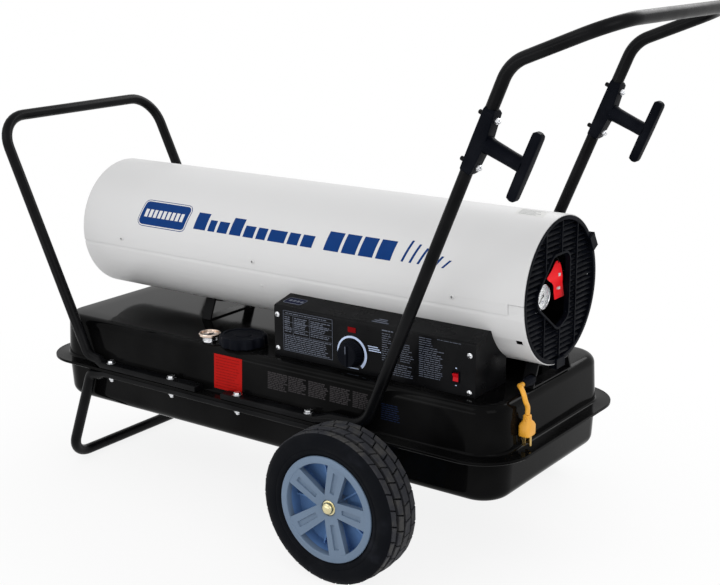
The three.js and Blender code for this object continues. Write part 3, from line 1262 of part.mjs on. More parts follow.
// Wheels on their axle; the far wheel is the near one turned half round
add('axle', 'zinc', axle());
[['near', -1], ['far', 1]].forEach(([side, sign]) => {
  const wheel = group([AXLE_X, sign * WHEEL_Y, AXLE_Z]);
  if (sign > 0) wheel.rotation.z = Math.PI;
  add(`tyre_${side}`, 'rubber', tyre(), wheel);
  add(`hub_${side}`, 'hubBlue', hub(), wheel);
  add(`axle_spacer_${side}`, 'yellowZinc', axleSpacer(), wheel);
  add(`cap_nut_${side}`, 'yellowZinc', capNut(), wheel);
});

// Frame and handles
add('wheel_frame', 'blackSatin', wheelFrame());
add('front_handle', 'blackSatin', frontHandle());
add('rear_handle', 'blackSatin', rearHandle());
BOLT_X.forEach((x, i) => [['near', -1], ['far', 1]].forEach(([side, sign]) => {
  add(`handle_bolt_${side}_${i + 1}`, 'zinc', handleBolt(), group([x, sign * TUBE_SPAN, 0]));
}));
[['near', -1], ['far', 1]].forEach(([side, sign]) => {
  const foot = vec(REAR_LEG_X, sign * TUBE_SPAN, HANDLE_ROUND_Z);
  foot.addScaledVector(REAR_LEG_WAY, CLEAT_ALONG_LEG);
  const seat = group(foot.toArray());
  seat.rotation.y = Math.atan2(REAR_LEG_WAY.x, REAR_LEG_WAY.z);
  add(`cord_cleat_${side}`, 'blackSatin', cleat(), seat);
});

// Barrel
add('upper_shell', 'whitePaint', upperShell());
add('lower_shell', 'whitePaint', lowerShell());
add('front_support', 'blackSatin', barrelSupport(SUPPORT_X[0]));
add('rear_support', 'blackSatin', cut(barrelSupport(SUPPORT_X[1]), reliefHole()));

// Combustion
add('combustion_chamber', 'stainless', combustionChamber());
add('chamber_bracket_front', 'steel', spider(CHAMBER_RADIUS + GAP, BRACKET_X[0], BRACKET_WIDTH));
add('chamber_bracket_rear', 'steel', spider(CHAMBER_RADIUS + GAP, BRACKET_X[1], BRACKET_WIDTH));
add('outlet_baffle', 'stainless', outletBaffle());
add('burner_head', 'steel', burnerHead());
add('nozzle_adapter', 'brass', nozzleAdapter());
add('igniter', 'ceramic', igniter());

// Motor, fan and air pump
add('fan', 'aluminium', fan());
add('motor_shaft', 'steel', motorShaft());
add('motor', 'steel', motor());
add('motor_bracket', 'steel', spider(MOTOR_RADIUS + GAP, MOTOR_BRACKET_X, MOTOR_BRACKET_WIDTH));
add('pump_body', 'aluminium', pumpBody());
add('pump_end_cover', 'aluminium', pumpEndCover());
add('pressure_gauge', 'chrome', pressureGauge());
const pressureDial = group([GAUGE_DIAL_X + GAP, PRESSURE_GAUGE_Y, PRESSURE_GAUGE_Z]);
pressureDial.rotation.x = radians(PRESSURE_ZERO_ANGLE);
add('pressure_pointer', 'red', pressurePointer(), pressureDial);
add('fan_guard', 'blackPlastic', fanGuard());
add('air_hose', 'rubber', hose(airHoseRoute(), HOSE_RADIUS, 20));
add('fuel_hose', 'rubber', hose(fuelHoseRoute(), HOSE_RADIUS, 16));

// Covers and controls
add('side_cover', 'blackSatin', sideCover());
add('far_side_cover', 'blackSatin', farSideCover());
add('thermostat_knob', 'blackPlastic', thermostatKnob(), group([KNOB_X, -COVER_Y, KNOB_Z]));
add('switch_bezel', 'blackPlastic', switchBezel());
const rocker = group([SWITCH_X, -COVER_Y, SWITCH_Z]);
rocker.rotation.x = radians(ROCKER_TILT);
add('rocker_switch', 'red', rockerSwitch(), rocker);
add('display_window', 'red', displayWindow());
add('control_board', 'board', controlBoard());

// Cord
add('strain_relief', 'blackPlastic', strainRelief());
add('power_cord', 'cordYellow', hose(CORD_POINTS, CORD_RADIUS, 12));
add('power_plug', 'cordYellow', powerPlug());

export default heater;
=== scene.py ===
"""The looks of a forced air heater: a barrel on a fuel tank, two bent tube handles and two wheels.

Lengths are in millimetres and are turned into metres where a mesh is made. The axes are the CAD model's:
+Z up, +X towards the fan end, the controls on the -Y side.
"""

import json
import math

import bmesh
import bpy
import numpy as np
from mathutils import Matrix, Vector

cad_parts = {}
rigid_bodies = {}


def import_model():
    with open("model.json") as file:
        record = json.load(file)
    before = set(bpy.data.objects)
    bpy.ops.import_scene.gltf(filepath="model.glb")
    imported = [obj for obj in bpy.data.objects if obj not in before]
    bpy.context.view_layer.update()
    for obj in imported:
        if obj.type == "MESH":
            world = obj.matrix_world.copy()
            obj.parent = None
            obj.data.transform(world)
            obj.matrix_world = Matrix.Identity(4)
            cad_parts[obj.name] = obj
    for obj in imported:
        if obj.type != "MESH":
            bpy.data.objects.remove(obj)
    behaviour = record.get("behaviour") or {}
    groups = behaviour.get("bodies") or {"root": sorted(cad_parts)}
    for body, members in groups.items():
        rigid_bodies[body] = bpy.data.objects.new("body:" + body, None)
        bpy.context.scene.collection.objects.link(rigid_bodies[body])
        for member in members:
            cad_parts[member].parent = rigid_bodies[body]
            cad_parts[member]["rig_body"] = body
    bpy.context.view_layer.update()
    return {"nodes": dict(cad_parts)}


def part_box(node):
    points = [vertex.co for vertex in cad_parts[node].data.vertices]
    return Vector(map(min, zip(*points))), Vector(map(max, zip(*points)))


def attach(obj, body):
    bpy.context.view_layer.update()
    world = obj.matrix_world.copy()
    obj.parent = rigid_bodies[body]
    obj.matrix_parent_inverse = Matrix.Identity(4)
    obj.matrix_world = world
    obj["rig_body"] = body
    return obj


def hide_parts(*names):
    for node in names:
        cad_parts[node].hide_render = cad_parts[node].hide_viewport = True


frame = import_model()

MM = 0.001
CLEARANCE = 0.3  # left between parts that meet


def add_object(name, data):
    """A new object in the scene."""
    made = bpy.data.objects.new(name, data)
    bpy.context.collection.objects.link(made)
    return made


# ---------------------------------------------------------------- sizes read from the frame


def box_mm(node):
    """Lowest and highest corner of a CAD node in millimetres."""
    low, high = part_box(node)
    return np.array(low) / MM, np.array(high) / MM


def middle(node):
    """The middle of a CAD node's box in millimetres."""
    low, high = box_mm(node)
    return (low + high) / 2


SHELL_LOW, SHELL_HIGH = box_mm("upper_shell")
BARREL_X0, BARREL_X1 = SHELL_LOW[0], SHELL_HIGH[0]
BARREL_R = 122.0
BARREL_Z = SHELL_HIGH[2] - BARREL_R
SHEET = 1.5

TANK_LOW, TANK_HIGH = box_mm("tank_upper")
TANK_BOTTOM, SEAM_UNDER = (corner[2] for corner in box_mm("tank_lower"))
SEAM_OVER = TANK_LOW[2]
TANK_HALF_WIDTH = 190.0
FLANGE_WIDTH = 27.0
FLANGE_THICKNESS = 2.4
TANK_CORNER = 56.0
TANK_DRAFT = 3.0
TANK_TOP_EDGE = 16.0
TANK_BOTTOM_EDGE = 20.0

WHEEL_MIDDLE = middle("tyre_near")
WHEEL_R = 127.0
WHEEL_Y = -WHEEL_MIDDLE[1]
AXLE_X, AXLE_Z = WHEEL_MIDDLE[0], WHEEL_R
AXLE_R = 6.5
BORE_R = AXLE_R + CLEARANCE

COVER_LOW, COVER_HIGH = box_mm("side_cover")
COVER_FACE = -COVER_LOW[1]
COVER_SHOULDER_Z = 383.0

KNOB = middle("thermostat_knob")
KNOB_R = 23.0
SWITCH = middle("switch_bezel")
DISPLAY = middle("display_window")
GAUGE = middle("pressure_gauge")
GAUGE_FRONT = box_mm("pressure_gauge")[1][0]
GAUGE_R = 21.0
CAP = middle("fuel_cap")
CAP_BASE, CAP_TOP = (corner[2] for corner in box_mm("fuel_cap"))
CAP_R = 43.0
LEVEL_GAUGE = middle("fuel_gauge")
LEVEL_GAUGE_TOP = box_mm("fuel_gauge")[1][2]
LEVEL_GAUGE_R = 19.5
GUARD_FRONT = BARREL_X1 + 1
PUMP_FACE = box_mm("pump_end_cover")[1][0]

TUBE_R = 10.0
TUBE_SPAN = 204.0
TUBE_FLAT = (12.0, 5.0)
ROUND_TUBE_GAP = 1.3
FLANGE_TOP = SEAM_OVER + FLANGE_THICKNESS
FLANGE_BOTTOM = SEAM_UNDER - FLANGE_THICKNESS
HANDLE_RUN_Z = FLANGE_TOP + CLEARANCE + TUBE_FLAT[1]
RAIL_Z = FLANGE_BOTTOM - CLEARANCE - TUBE_FLAT[1]
HANDLE_ROUND_Z = FLANGE_TOP + TUBE_R + ROUND_TUBE_GAP
RAIL_ROUND_Z = FLANGE_BOTTOM - TUBE_R - ROUND_TUBE_GAP
BOLT_X = (-365, -212, -55, 101)


# ---------------------------------------------------------------- camera

CAMERA_AT = (1.41554, -1.86575, 1.00413)
CAMERA_AZIMUTH = math.radians(35.98)
CAMERA_ELEVATION = math.radians(15.18)
CAMERA_ROLL = math.radians(-0.43)
CAMERA_LENS = 67.4


def make_camera():
    """The camera at the photograph's place and angle."""
    sa, ca = math.sin(CAMERA_AZIMUTH), math.cos(CAMERA_AZIMUTH)
    se, ce = math.sin(CAMERA_ELEVATION), math.cos(CAMERA_ELEVATION)
    forward = Vector((-sa * ce, ca * ce, -se))
    level = Vector((ca, sa, 0))
    upright = level.cross(forward)
    right = level * math.cos(CAMERA_ROLL) + upright * math.sin(CAMERA_ROLL)
    up = upright * math.cos(CAMERA_ROLL) - level * math.sin(CAMERA_ROLL)
    camera = add_object("camera", bpy.data.cameras.new("camera"))
    camera.data.lens = CAMERA_LENS
    camera.data.sensor_width = 36
    camera.data.clip_end = 50
    rows = [(right[i], up[i], -forward[i], CAMERA_AT[i]) for i in range(3)]
    camera.matrix_world = Matrix([*rows, (0, 0, 0, 1)])
    bpy.context.scene.camera = camera


make_camera()


# ---------------------------------------------------------------- materials


def add_node(tree, kind, inputs=None, **settings):
    """A new shader node. An input is another node's output or a value."""
    made = tree.nodes.new(f"ShaderNode{kind}")
    for key, value in settings.items():
        setattr(made, key, value)
    for key, value in (inputs or {}).items():
        if isinstance(value, bpy.types.NodeSocket):
            tree.links.new(value, made.inputs[key])
        else:
            made.inputs[key].default_value = value
    return made


def mapped(tree, value, source, target=(0, 1), kind="LINEAR"):
    """A value mapped from one range to another, held at its ends."""
    inputs = dict(zip(("Value", "From Min", "From Max", "To Min", "To Max"), (value, *source, *target)))
    return add_node(tree, "MapRange", inputs, interpolation_type=kind).outputs["Result"]


class Shader:
    """A Principled material that is built up in layers over the object's own coordinates."""

    def __init__(self, name, color, roughness, **sockets):
        self.material = bpy.data.materials.new(name)
        self.material.use_nodes = True
        self.tree = self.material.node_tree
        self.inputs = self.tree.nodes["Principled BSDF"].inputs
        self.color = color
        for socket, value in {"Base Color": (*color, 1), "Roughness": roughness, **sockets}.items():
            self.inputs[socket.replace("_", " ")].default_value = value
        self.coordinates = self.node("TexCoord").outputs
        self.normal = None

    def node(self, kind, inputs=None, **settings):
        return add_node(self.tree, kind, inputs, **settings)

    def noise(self, scale, detail=3.0, stretch=None):
        """Noise, which can be stretched along the axes as in brushed metal."""
        place = self.coordinates["Object"]
        if stretch:
            place = self.node("Mapping", {"Vector": place, "Scale": stretch}).outputs["Vector"]
        return self.node("TexNoise", {"Vector": place, "Scale": scale, "Detail": detail}).outputs["Fac"]

    def blend(self, share, color):
        """Mixes another colour over the present one by a share."""
        base = self.inputs["Base Color"]
        present = base.links[0].from_socket if base.links else (*self.color, 1)
        mix = self.node("Mix", {0: share, 6: present, 7: (*color, 1)}, data_type="RGBA")
        self.tree.links.new(mix.outputs[2], base)

    def patches(self, scale, detail, span, color):
        """Soft patches of another colour."""
        self.blend(mapped(self.tree, self.noise(scale, detail), span, kind="SMOOTHSTEP"), color)

    def mottle(self, scale, amount):
        """Lets the colour drift a little lighter."""
        lighter = tuple(min(c * (1 + amount) + 0.015 * amount * amount, 1) for c in self.color)
        self.patches(scale, 3.0, (0.3, 0.75), lighter)

    def dark_inside(self, color):
        """Painted shade: a dark colour on the faces that look towards the barrel's axis, where the shells' inside lies
        in shade.
        """
        place = self.node("SeparateXYZ", {"Vector": self.coordinates["Object"]}).outputs
        height = self.node("Math", {0: place["Z"], 1: BARREL_Z * MM}, operation="SUBTRACT").outputs["Value"]
        outward = self.node("CombineXYZ", {"Y": place["Y"], "Z": height}).outputs["Vector"]
        facing = {0: outward, 1: self.coordinates["Normal"]}
        dot = self.node("VectorMath", facing, operation="DOT_PRODUCT").outputs["Value"]
        self.blend(self.node("Math", {0: dot, 1: -0.03}, operation="LESS_THAN").outputs["Value"], color)

    def rough(self, scale, low, high, stretch=None):
        """Lets the roughness drift between two values."""
        drift = mapped(self.tree, self.noise(scale, stretch=stretch), (0.3, 0.7), (low, high))
        self.tree.links.new(drift, self.inputs["Roughness"])

    def bump(self, scale, depth, stretch=None):
        """Adds relief, its depth in millimetres."""
        inputs = {"Height": self.noise(scale, 2.0, stretch), "Strength": 1.0, "Distance": depth * MM}
        if self.normal:
            inputs["Normal"] = self.normal
        self.normal = self.node("Bump", inputs).outputs["Normal"]
        self.tree.links.new(self.normal, self.inputs["Normal"])


LOOK, SLOT = {}, {}


def finish(name, slot, color, roughness, specular, layers, **sockets):
    """A named material. Each layer is a method of Shader with its values."""
    shader = Shader(name, color, roughness, Specular_IOR_Level=specular, **sockets)
    for layer, *values in layers:
        getattr(shader, layer)(*values)
    LOOK[name], SLOT[name] = shader.material, slot


# Name, slot, colour, roughness, specular, layers. The tank's enamel comes first: deep black with a little dust.
for row in (
    ("gloss_black", "black_gloss", (0.0013, 0.0013, 0.0014), 0.09, 0.035,
     [("mottle", 6, 0.6), ("rough", 9, 0.06, 0.13), ("bump", 260, 0.006), ("bump", 9, 0.12)]),
    ("satin_black", "black_satin", (0.0016, 0.0017, 0.0022), 0.3, 0.07,
     [("mottle", 14, 0.5), ("rough", 30, 0.24, 0.36), ("bump", 900, 0.015)]),
    # white_enamel: its faces that look towards the barrel's axis get painted shade, near black, on the shells' inside.
    ("white_enamel", "white_paint", (0.63, 0.63, 0.633), 0.42, 0.35,
     [("mottle", 3, 0.02), ("dark_inside", (0.0015, 0.0015, 0.002)), ("rough", 7, 0.38, 0.46), ("bump", 300, 0.008)]),
    ("black_plastic", "black_plastic", (0.0014, 0.002, 0.0042), 0.42, 0.03,
     [("mottle", 20, 0.5), ("rough", 45, 0.36, 0.5), ("bump", 1400, 0.02)]),
    ("hub_plastic", "blue_plastic", (0.125, 0.178, 0.256), 0.42, 0.3,
     [("mottle", 12, 0.1), ("rough", 30, 0.34, 0.5), ("bump", 900, 0.02)]),
    # The hub's web: the hub's own blue plastic painted lighter, as painted light that lifts the shade in the hub's
    # recess.
    ("hub_inside_painted_light", "blue_plastic", (0.11, 0.22, 0.44), 0.38, 0.3,
     [("mottle", 10, 0.3), ("rough", 20, 0.3, 0.46), ("bump", 700, 0.02)]),
    ("tyre_rubber", "tyre", (0.0022, 0.0028, 0.0045), 0.62, 0.06,
     [("patches", 26, 5, (0.55, 0.82), (0.009, 0.01, 0.014)), ("rough", 30, 0.55, 0.7), ("bump", 600, 0.05),
      ("bump", 70, 0.12)]),
    ("tread_rubber", "tyre", (0.02, 0.021, 0.026), 0.68, 0.2,
     [("patches", 45, 5, (0.4, 0.72), (0.045, 0.044, 0.043)), ("rough", 60, 0.6, 0.78), ("bump", 500, 0.08)]),
    ("hose_rubber", "rubber", (0.006, 0.006, 0.007), 0.5, 0.2, [("mottle", 40, 0.4), ("bump", 800, 0.02)]),
    # Near black for the pump inside the barrel: painted shade for the shade it sits in; its slot is aluminium.
    ("cast_in_painted_shade", "aluminium", (0.003, 0.003, 0.0035), 0.5, 0.1,
     [("mottle", 40, 0.5), ("rough", 80, 0.42, 0.6), ("bump", 500, 0.05)]),
    ("ceramic", "white_ceramic", (0.72, 0.7, 0.64), 0.22, 0.5, [("mottle", 80, 0.06), ("bump", 300, 0.01)]),
    ("circuit_board", "green_board", (0.02, 0.11, 0.05), 0.35, 0.5, [("mottle", 200, 0.5), ("bump", 700, 0.03)]),
):
    finish(*row)

# Name, slot, colour, roughness, share of metal, layers.
for name, slot, color, roughness, metal, layers in (
    ("bare_steel", "steel", (0.42, 0.425, 0.43), 0.34, 1.0,
     [("mottle", 12, 0.15), ("rough", 60, 0.28, 0.44, (1, 20, 20)), ("bump", 220, 0.01, (1, 30, 30))]),
    ("hot_stainless", "stainless", (0.4, 0.385, 0.36), 0.36, 1.0,
     [("patches", 5, 4, (0.45, 0.68), (0.33, 0.24, 0.14)), ("patches", 8, 4, (0.62, 0.8), (0.12, 0.14, 0.22)),
      ("rough", 40, 0.28, 0.5), ("bump", 40, 0.2)]),
    ("cast_aluminium", "aluminium", (0.42, 0.425, 0.43), 0.48, 0.9,
     [("mottle", 40, 0.12), ("rough", 80, 0.4, 0.58), ("bump", 500, 0.06)]),
):
    finish(name, slot, color, roughness, 0.5, layers, Metallic=metal)

finish("clear_lens", "chrome", (1, 1, 1), 0.04, 0.5, [("bump", 120, 0.004)],
       Transmission_Weight=1.0, IOR=1.25, Alpha=0.25)

# A kind's share of metal, mottle, roughness drift (its ends as shares of the roughness) and bump,
# then its finishes: name, slot, colour, roughness, specular.
for metal, mottle, (scale, low, high), bump, rows in (
    (1.0, (90, 0.18), (160, 0.8, 1.25), (900, 0.01), [
        ("zinc", "zinc", (0.62, 0.63, 0.65), 0.26, 0.5),
        ("yellow_zinc", "yellow_zinc", (0.62, 0.56, 0.34), 0.28, 0.5),
        ("bronze", "chrome", (0.62, 0.5, 0.42), 0.2, 0.5),
        ("chrome", "chrome", (0.74, 0.75, 0.77), 0.1, 0.5),
        ("brass", "brass", (0.55, 0.38, 0.14), 0.3, 0.5),
    ]),
    (0.0, (30, 0.12), (70, 0.85, 1.3), (700, 0.008), [
        ("red_plastic", "red_plastic", (0.5, 0.006, 0.012), 0.3, 0.12),
        ("display_red", "red_plastic", (0.17, 0.001, 0.002), 0.25, 0.05),
        ("cord_yellow", "yellow_plastic", (0.76, 0.36, 0.03), 0.36, 0.5),
    ]),
    (0.0, (60, 0.08), (90, 0.9, 1.2), (500, 0.005), [
        ("white_print", "white_paint", (0.5, 0.6, 0.82), 0.4, 0.5),
        ("grey_print", "white_paint", (0.085, 0.1, 0.14), 0.4, 0.5),
        ("dim_print", "black_plastic", (0.036, 0.033, 0.035), 0.5, 0.05),
        ("dust_print", "white_paint", (0.3, 0.31, 0.31), 0.4, 0.5),
        ("blue_print", "white_paint", (0.001, 0.032, 0.155), 0.4, 0.08),
        ("navy_film", "white_paint", (0.002, 0.004, 0.022), 0.35, 0.03),
        ("red_film", "red_plastic", (0.85, 0.012, 0.018), 0.4, 0.1),
        ("red_ink", "red_plastic", (0.2, 0.003, 0.002), 0.4, 0.05),
        ("red_label", "red_plastic", (0.38, 0.007, 0.005), 0.4, 0.05),
        ("blue_ink", "black_plastic", (0.012, 0.022, 0.06), 0.4, 0.05),
        ("pale_film", "white_paint", (0.6, 0.6, 0.59), 0.4, 0.5),
        ("dial_face", "white_paint", (0.78, 0.79, 0.8), 0.4, 0.5),
        ("black_ink", None, (0.01, 0.01, 0.012), 0.5, 0.5),
    ]),
):
    for name, slot, color, roughness, specular in rows:
        drift = ("rough", scale, roughness * low, roughness * high)
        finish(name, slot, color, roughness, specular, [("mottle", *mottle), drift, ("bump", *bump)], Metallic=metal)


# ---------------------------------------------------------------- mesh helpers
# A form is (points, faces), its points in millimetres.


def merged(*forms):
    """Several forms as one."""
    points, faces, start = [], [], 0
    for p, f in forms:
        points.append(np.asarray(p, float))
        faces += [tuple(i + start for i in face) for face in f]
        start += len(p)
    return np.concatenate(points), faces


def shifted(form, x=0.0, y=0.0, z=0.0):
    return form[0] + np.array((x, y, z)), form[1]


def turned(form, axis, degrees):
    """A form turned about an axis through the origin."""
    m = np.array(Matrix.Rotation(math.radians(degrees), 3, axis.upper()))
    return form[0] @ m.T, form[1]


def around(form, axis, count, start=0.0):
    """Copies of a form, spread evenly round an axis."""
    return merged(*[turned(form, axis, start + 360 * i / count) for i in range(count)])


def band(n, a, b):
    """Faces between two rings of n points that start at a and b."""
    return [(a + i, a + (i + 1) % n, b + (i + 1) % n, b + i) for i in range(n)]


def loft(rings, closed=False):
    """Skins rings of equal numbers of points, and caps the ends or joins them."""
    n, last = len(rings[0]), (len(rings) - 1) * len(rings[0])
    faces = [f for r in range(len(rings) - 1) for f in band(n, r * n, (r + 1) * n)]
    if closed:
        faces += band(n, last, 0)
    else:
        faces += [tuple(range(n - 1, -1, -1)), tuple(range(last, last + n))]
    return np.concatenate([np.asarray(r, float) for r in rings]), faces


def on_axes(axis, across, up, along):
    """A point from its place across, up and along an axis."""
    return {"x": (along, across, up), "y": (across, along, up), "z": (across, up, along)}[axis]


def lathe(axis, profile, n=64):
    """A profile of (radius, along) pairs turned about an axis."""
    rings = []
    for i in range(n):
        c, s = math.cos(2 * math.pi * i / n), math.sin(2 * math.pi * i / n)
        rings.append([on_axes(axis, r * c, r * s, h) for r, h in profile])
    return loft(rings, closed=True)


def cylinder(axis, radius, low, high, n=32):
    return lathe(axis, [(0, low), (radius, low), (radius, high), (0, high)], n)


def prism(axis, outline, a, b):
    """An outline from a to b along an axis."""
    return loft([[on_axes(axis, u, v, h) for u, v in outline] for h in (a, b)])


def block(low, high):
    (x0, y0, z0), (x1, y1, z1) = low, high
    return prism("z", [(x0, y0), (x1, y0), (x1, y1), (x0, y1)], z0, z1)


def arc(radius, start, end, steps, cx=0.0, cy=0.0):
    """Points on an arc, angles in degrees."""
    angles = np.radians(np.linspace(start, end, steps + 1))
    return [(cx + radius * math.cos(a), cy + radius * math.sin(a)) for a in angles]


def soft_rectangle(x0, y0, x1, y1, radius, steps=4):
    """A rectangle with round corners, anticlockwise."""
    corners = [(x1, y1, 0), (x0, y1, 90), (x0, y0, 180), (x1, y0, 270)]
    points = []
    for x, y, start in corners:
        cx = x - radius if x == x1 else x + radius
        cy = y - radius if y == y1 else y + radius
        points += arc(radius, start, start + 90, steps, cx, cy)
    return points


def hexagon(radius):
    return arc(radius, 30, 330, 5)


def sweep(stations, section, across=(0, 1, 0)):
    """Sweeps a section along (place, direction) stations. section(i) gives (across, up) pairs."""
    side, rings = np.array(across, float), []
    for i, (at, way) in enumerate(stations):
        side = side - way * side.dot(way)
        side = side / np.linalg.norm(side)
        up = np.cross(way, side)
        rings.append([at + side * u + up * v for u, v in section(i)])
    return loft(rings)


def unit(v):
    return v / np.linalg.norm(v)


def bent_path(corners, steps=10):
    """Stations along straight runs whose corners (place, bend radius) are bent."""
    places = [np.array(at, float) for at, _ in corners]
    stations = [(places[0], unit(places[1] - places[0]))]
    for i in range(1, len(corners) - 1):
        p, bend = places[i], corners[i][1]
        a, b = unit(places[i - 1] - p), unit(places[i + 1] - p)
        if not bend:
            stations.append((p, unit(b - a)))
            continue
        half = math.acos(np.clip(a.dot(b), -1, 1)) / 2
        centre = p + unit(a + b) * bend / math.sin(half)
        out = p + a * bend / math.tan(half) - centre
        axis = unit(np.cross(b, a))
        for k in range(steps + 1):
            turn = Matrix.Rotation((math.pi - 2 * half) * k / steps, 3, Vector(axis))
            stations.append((centre + np.array(turn @ Vector(out)), np.array(turn @ Vector(-a))))
    stations.append((places[-1], unit(places[-1] - places[-2])))
    return stations


def smooth_line(points, per_span=6):
    """Points on a centripetal Catmull-Rom curve through the given points."""
    p = [np.array(q, float) for q in points]
    p = [2 * p[0] - p[1], *p, 2 * p[-1] - p[-2]]

    def mix(a, b, ta, tb, t):
        return (a * (tb - t) + b * (t - ta)) / (tb - ta)

    line = []
    for i in range(1, len(p) - 2):
        q = p[i - 1 : i + 3]
        k = np.cumsum([0] + [np.linalg.norm(b - a) ** 0.5 for a, b in zip(q, q[1:])])
        for t in np.linspace(k[1], k[2], per_span, endpoint=False):
            first = [mix(q[j], q[j + 1], k[j], k[j + 1], t) for j in range(3)]
            second = [mix(first[j], first[j + 1], k[j], k[j + 2], t) for j in range(2)]
            line.append(mix(second[0], second[1], k[1], k[2], t))
    return np.array([*line, p[-2]])


def line_stations(points):
    """Stations on a line of points."""
    ways = np.gradient(points, axis=0)
    ways[0], ways[-1] = points[1] - points[0], points[-1] - points[-2]
    return [(at, unit(way)) for at, way in zip(points, ways)]


# ---------------------------------------------------------------- pieces


def mesh_of(name, form):
    """A form as a mesh in metres whose faces look outward."""
    mesh = bpy.data.meshes.new(name)
    mesh.from_pydata((np.asarray(form[0], float) * MM).tolist(), [], form[1])
    shape = bmesh.new()
    shape.from_mesh(mesh)
    bmesh.ops.remove_doubles(shape, verts=shape.verts, dist=1e-6)
    bmesh.ops.dissolve_degenerate(shape, edges=shape.edges, dist=1e-7)
    bmesh.ops.recalc_face_normals(shape, faces=shape.faces)
    if shape.calc_volume(signed=True) < 0:
        bmesh.ops.reverse_faces(shape, faces=shape.faces)
    shape.to_mesh(mesh)
    shape.free()
    return mesh


def shaded(mesh, sharp):
    """Smooth shading, with edges over an angle kept sharp."""
    mesh.shade_smooth()
    mesh.set_sharp_from_angle(angle=math.radians(sharp))


def dressed(name, mesh, look, body, replaces, bevel, sharp, slot=None):
    """An object with its material, shading, bevel and body."""
    obj = add_object(name, mesh)
    mesh.materials.clear()
    mesh.materials.append(LOOK[look])
    shaded(mesh, sharp)
    if bevel:
        edge = obj.modifiers.new("edge", "BEVEL")
        edge.width, edge.segments = bevel * MM, 2
        edge.limit_method, edge.angle_limit = "ANGLE", math.radians(sharp)
    if replaces:
        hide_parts(*replaces)
    slot = slot or SLOT[look]
    if body is None:
        body = frame["nodes"][replaces[0]]["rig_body"] if replaces else "heater"
    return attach(obj, body)


def piece(name, form, look, body=None, replaces=(), bevel=0.0, sharp=32, slot=None):
    """Makes a named piece of one material. Without a body it rides where the node it replaces does."""
    return dressed(name, mesh_of(name, form), look, body, replaces, bevel, sharp, slot)


def node_piece(node, form, look, ending="form", **settings):
    """A piece that replaces one CAD node and takes its name."""
    return piece(f"{node}_{ending}", form, look, replaces=[node], **settings)


def refined(node, look, bevel=0.5, sharp=32):
    """A CAD node's own form with clean edges, smooth rounds and its finish."""
    mesh = frame["nodes"][node].data.copy()
    mesh.name = f"{node}_form"
    shape = bmesh.new()
    shape.from_mesh(mesh)
    bmesh.ops.remove_doubles(shape, verts=shape.verts, dist=1e-6)
    bmesh.ops.dissolve_limit(shape, angle_limit=math.radians(0.5), verts=shape.verts, edges=shape.edges)
    shape.to_mesh(mesh)
    shape.free()
    return dressed(f"{node}_form", mesh, look, None, [node], bevel, sharp)


def carved(obj, *cutters, solver="EXACT"):
    """Cuts forms out of a piece, before its bevel."""
    bevels = [m for m in obj.modifiers if m.type == "BEVEL"]
    for form in cutters:
        tool = add_object("tool", mesh_of("tool", form))
        cut = obj.modifiers.new("cut", "BOOLEAN")
        cut.object, cut.operation, cut.solver = tool, "DIFFERENCE", solver
        for modifier in bevels:
            modifier.show_viewport = False
        mesh = bpy.data.meshes.new_from_object(obj.evaluated_get(bpy.context.evaluated_depsgraph_get()))
        for modifier in bevels:
            modifier.show_viewport = True
        obj.modifiers.remove(cut)
        obj.data = mesh
        bpy.data.objects.remove(tool)
    shaded(obj.data, 32)
    return obj


# ---------------------------------------------------------------- cord and plug

CORD_DIAMETER = 8.0
CORD_POINTS = [
    (440, -86.5, 306),
    (440, -95, 306),
    (445, -106.5, 310),
    (453, -115, 310),
    (459.5, -118.5, 302),
    (462, -117, 291),
    (463, -111.5, 280),
    (463, -111.5, 268),
]
PLUG_LENGTH = 34.0
PLUG_LEVELS = [  # half width, half depth, how far down
    (5.4, 5.4, 0), (6, 5.8, 6), (6.6, 6.2, 9), (11, 8.5, 13), (13.4, 10, 17), (13.4, 10, 31), (12.4, 9, PLUG_LENGTH),
]
BLADE_LENGTH = 16.0
BLADE_PLACE = 6.3


def make_plug():
    """A moulded three-pin plug hanging at the end of the cord."""
    x, y, z = CORD_POINTS[-1]
    top = z - CLEARANCE
    end = top - PLUG_LENGTH
    forms = []
    for half_width, half_depth, down in PLUG_LEVELS:
        round_by = min(half_width, half_depth) * 0.55
        outline = soft_rectangle(-half_depth, -half_width, half_depth, half_width, round_by)
        forms.append([(x + u, y + v, top - down) for u, v in outline])
    forms = [loft(forms)]
    for d in (1.5, 4.5, 7.5):
        collar = [(4.4, top - d), (6.9, top - d - 0.2), (6.9, top - d - 1.6), (4.4, top - d - 1.8)]
        forms.append(shifted(lathe("z", collar, 24), x, y))
    body = piece("plug_body", merged(*forms), "cord_yellow", replaces=["power_plug"], bevel=0.8, sharp=40)
    metal = []
    for middle_y in (y - BLADE_PLACE, y + BLADE_PLACE):
        metal.append(block((x - 5, middle_y - 0.8, end - BLADE_LENGTH), (x + 1.5, middle_y + 0.8, end + 1)))
    pin = [(0, end - 18), (1.6, end - 17.6), (2.4, end - 16.4), (2.4, end + 1), (0, end + 1)]
    metal.append(shifted(lathe("z", pin, 20), x + 6, y))
    return body, piece("plug_blades", merged(*metal), "brass", bevel=0.3)


def make_cord():
    """The short pigtail from the rear support to its plug."""
    line = smooth_line(CORD_POINTS)
    stations = line_stations(line)
    form = sweep(stations, lambda i: arc(CORD_DIAMETER / 2, 0, 345, 23), across=(1, 0, 0))
    cord = piece("cord", form, "cord_yellow", replaces=["power_cord"], sharp=60)
    list(make_plug())


make_cord()
refined("strain_relief", "black_plastic", bevel=0.4, sharp=40)


# ---------------------------------------------------------------- bent tubes


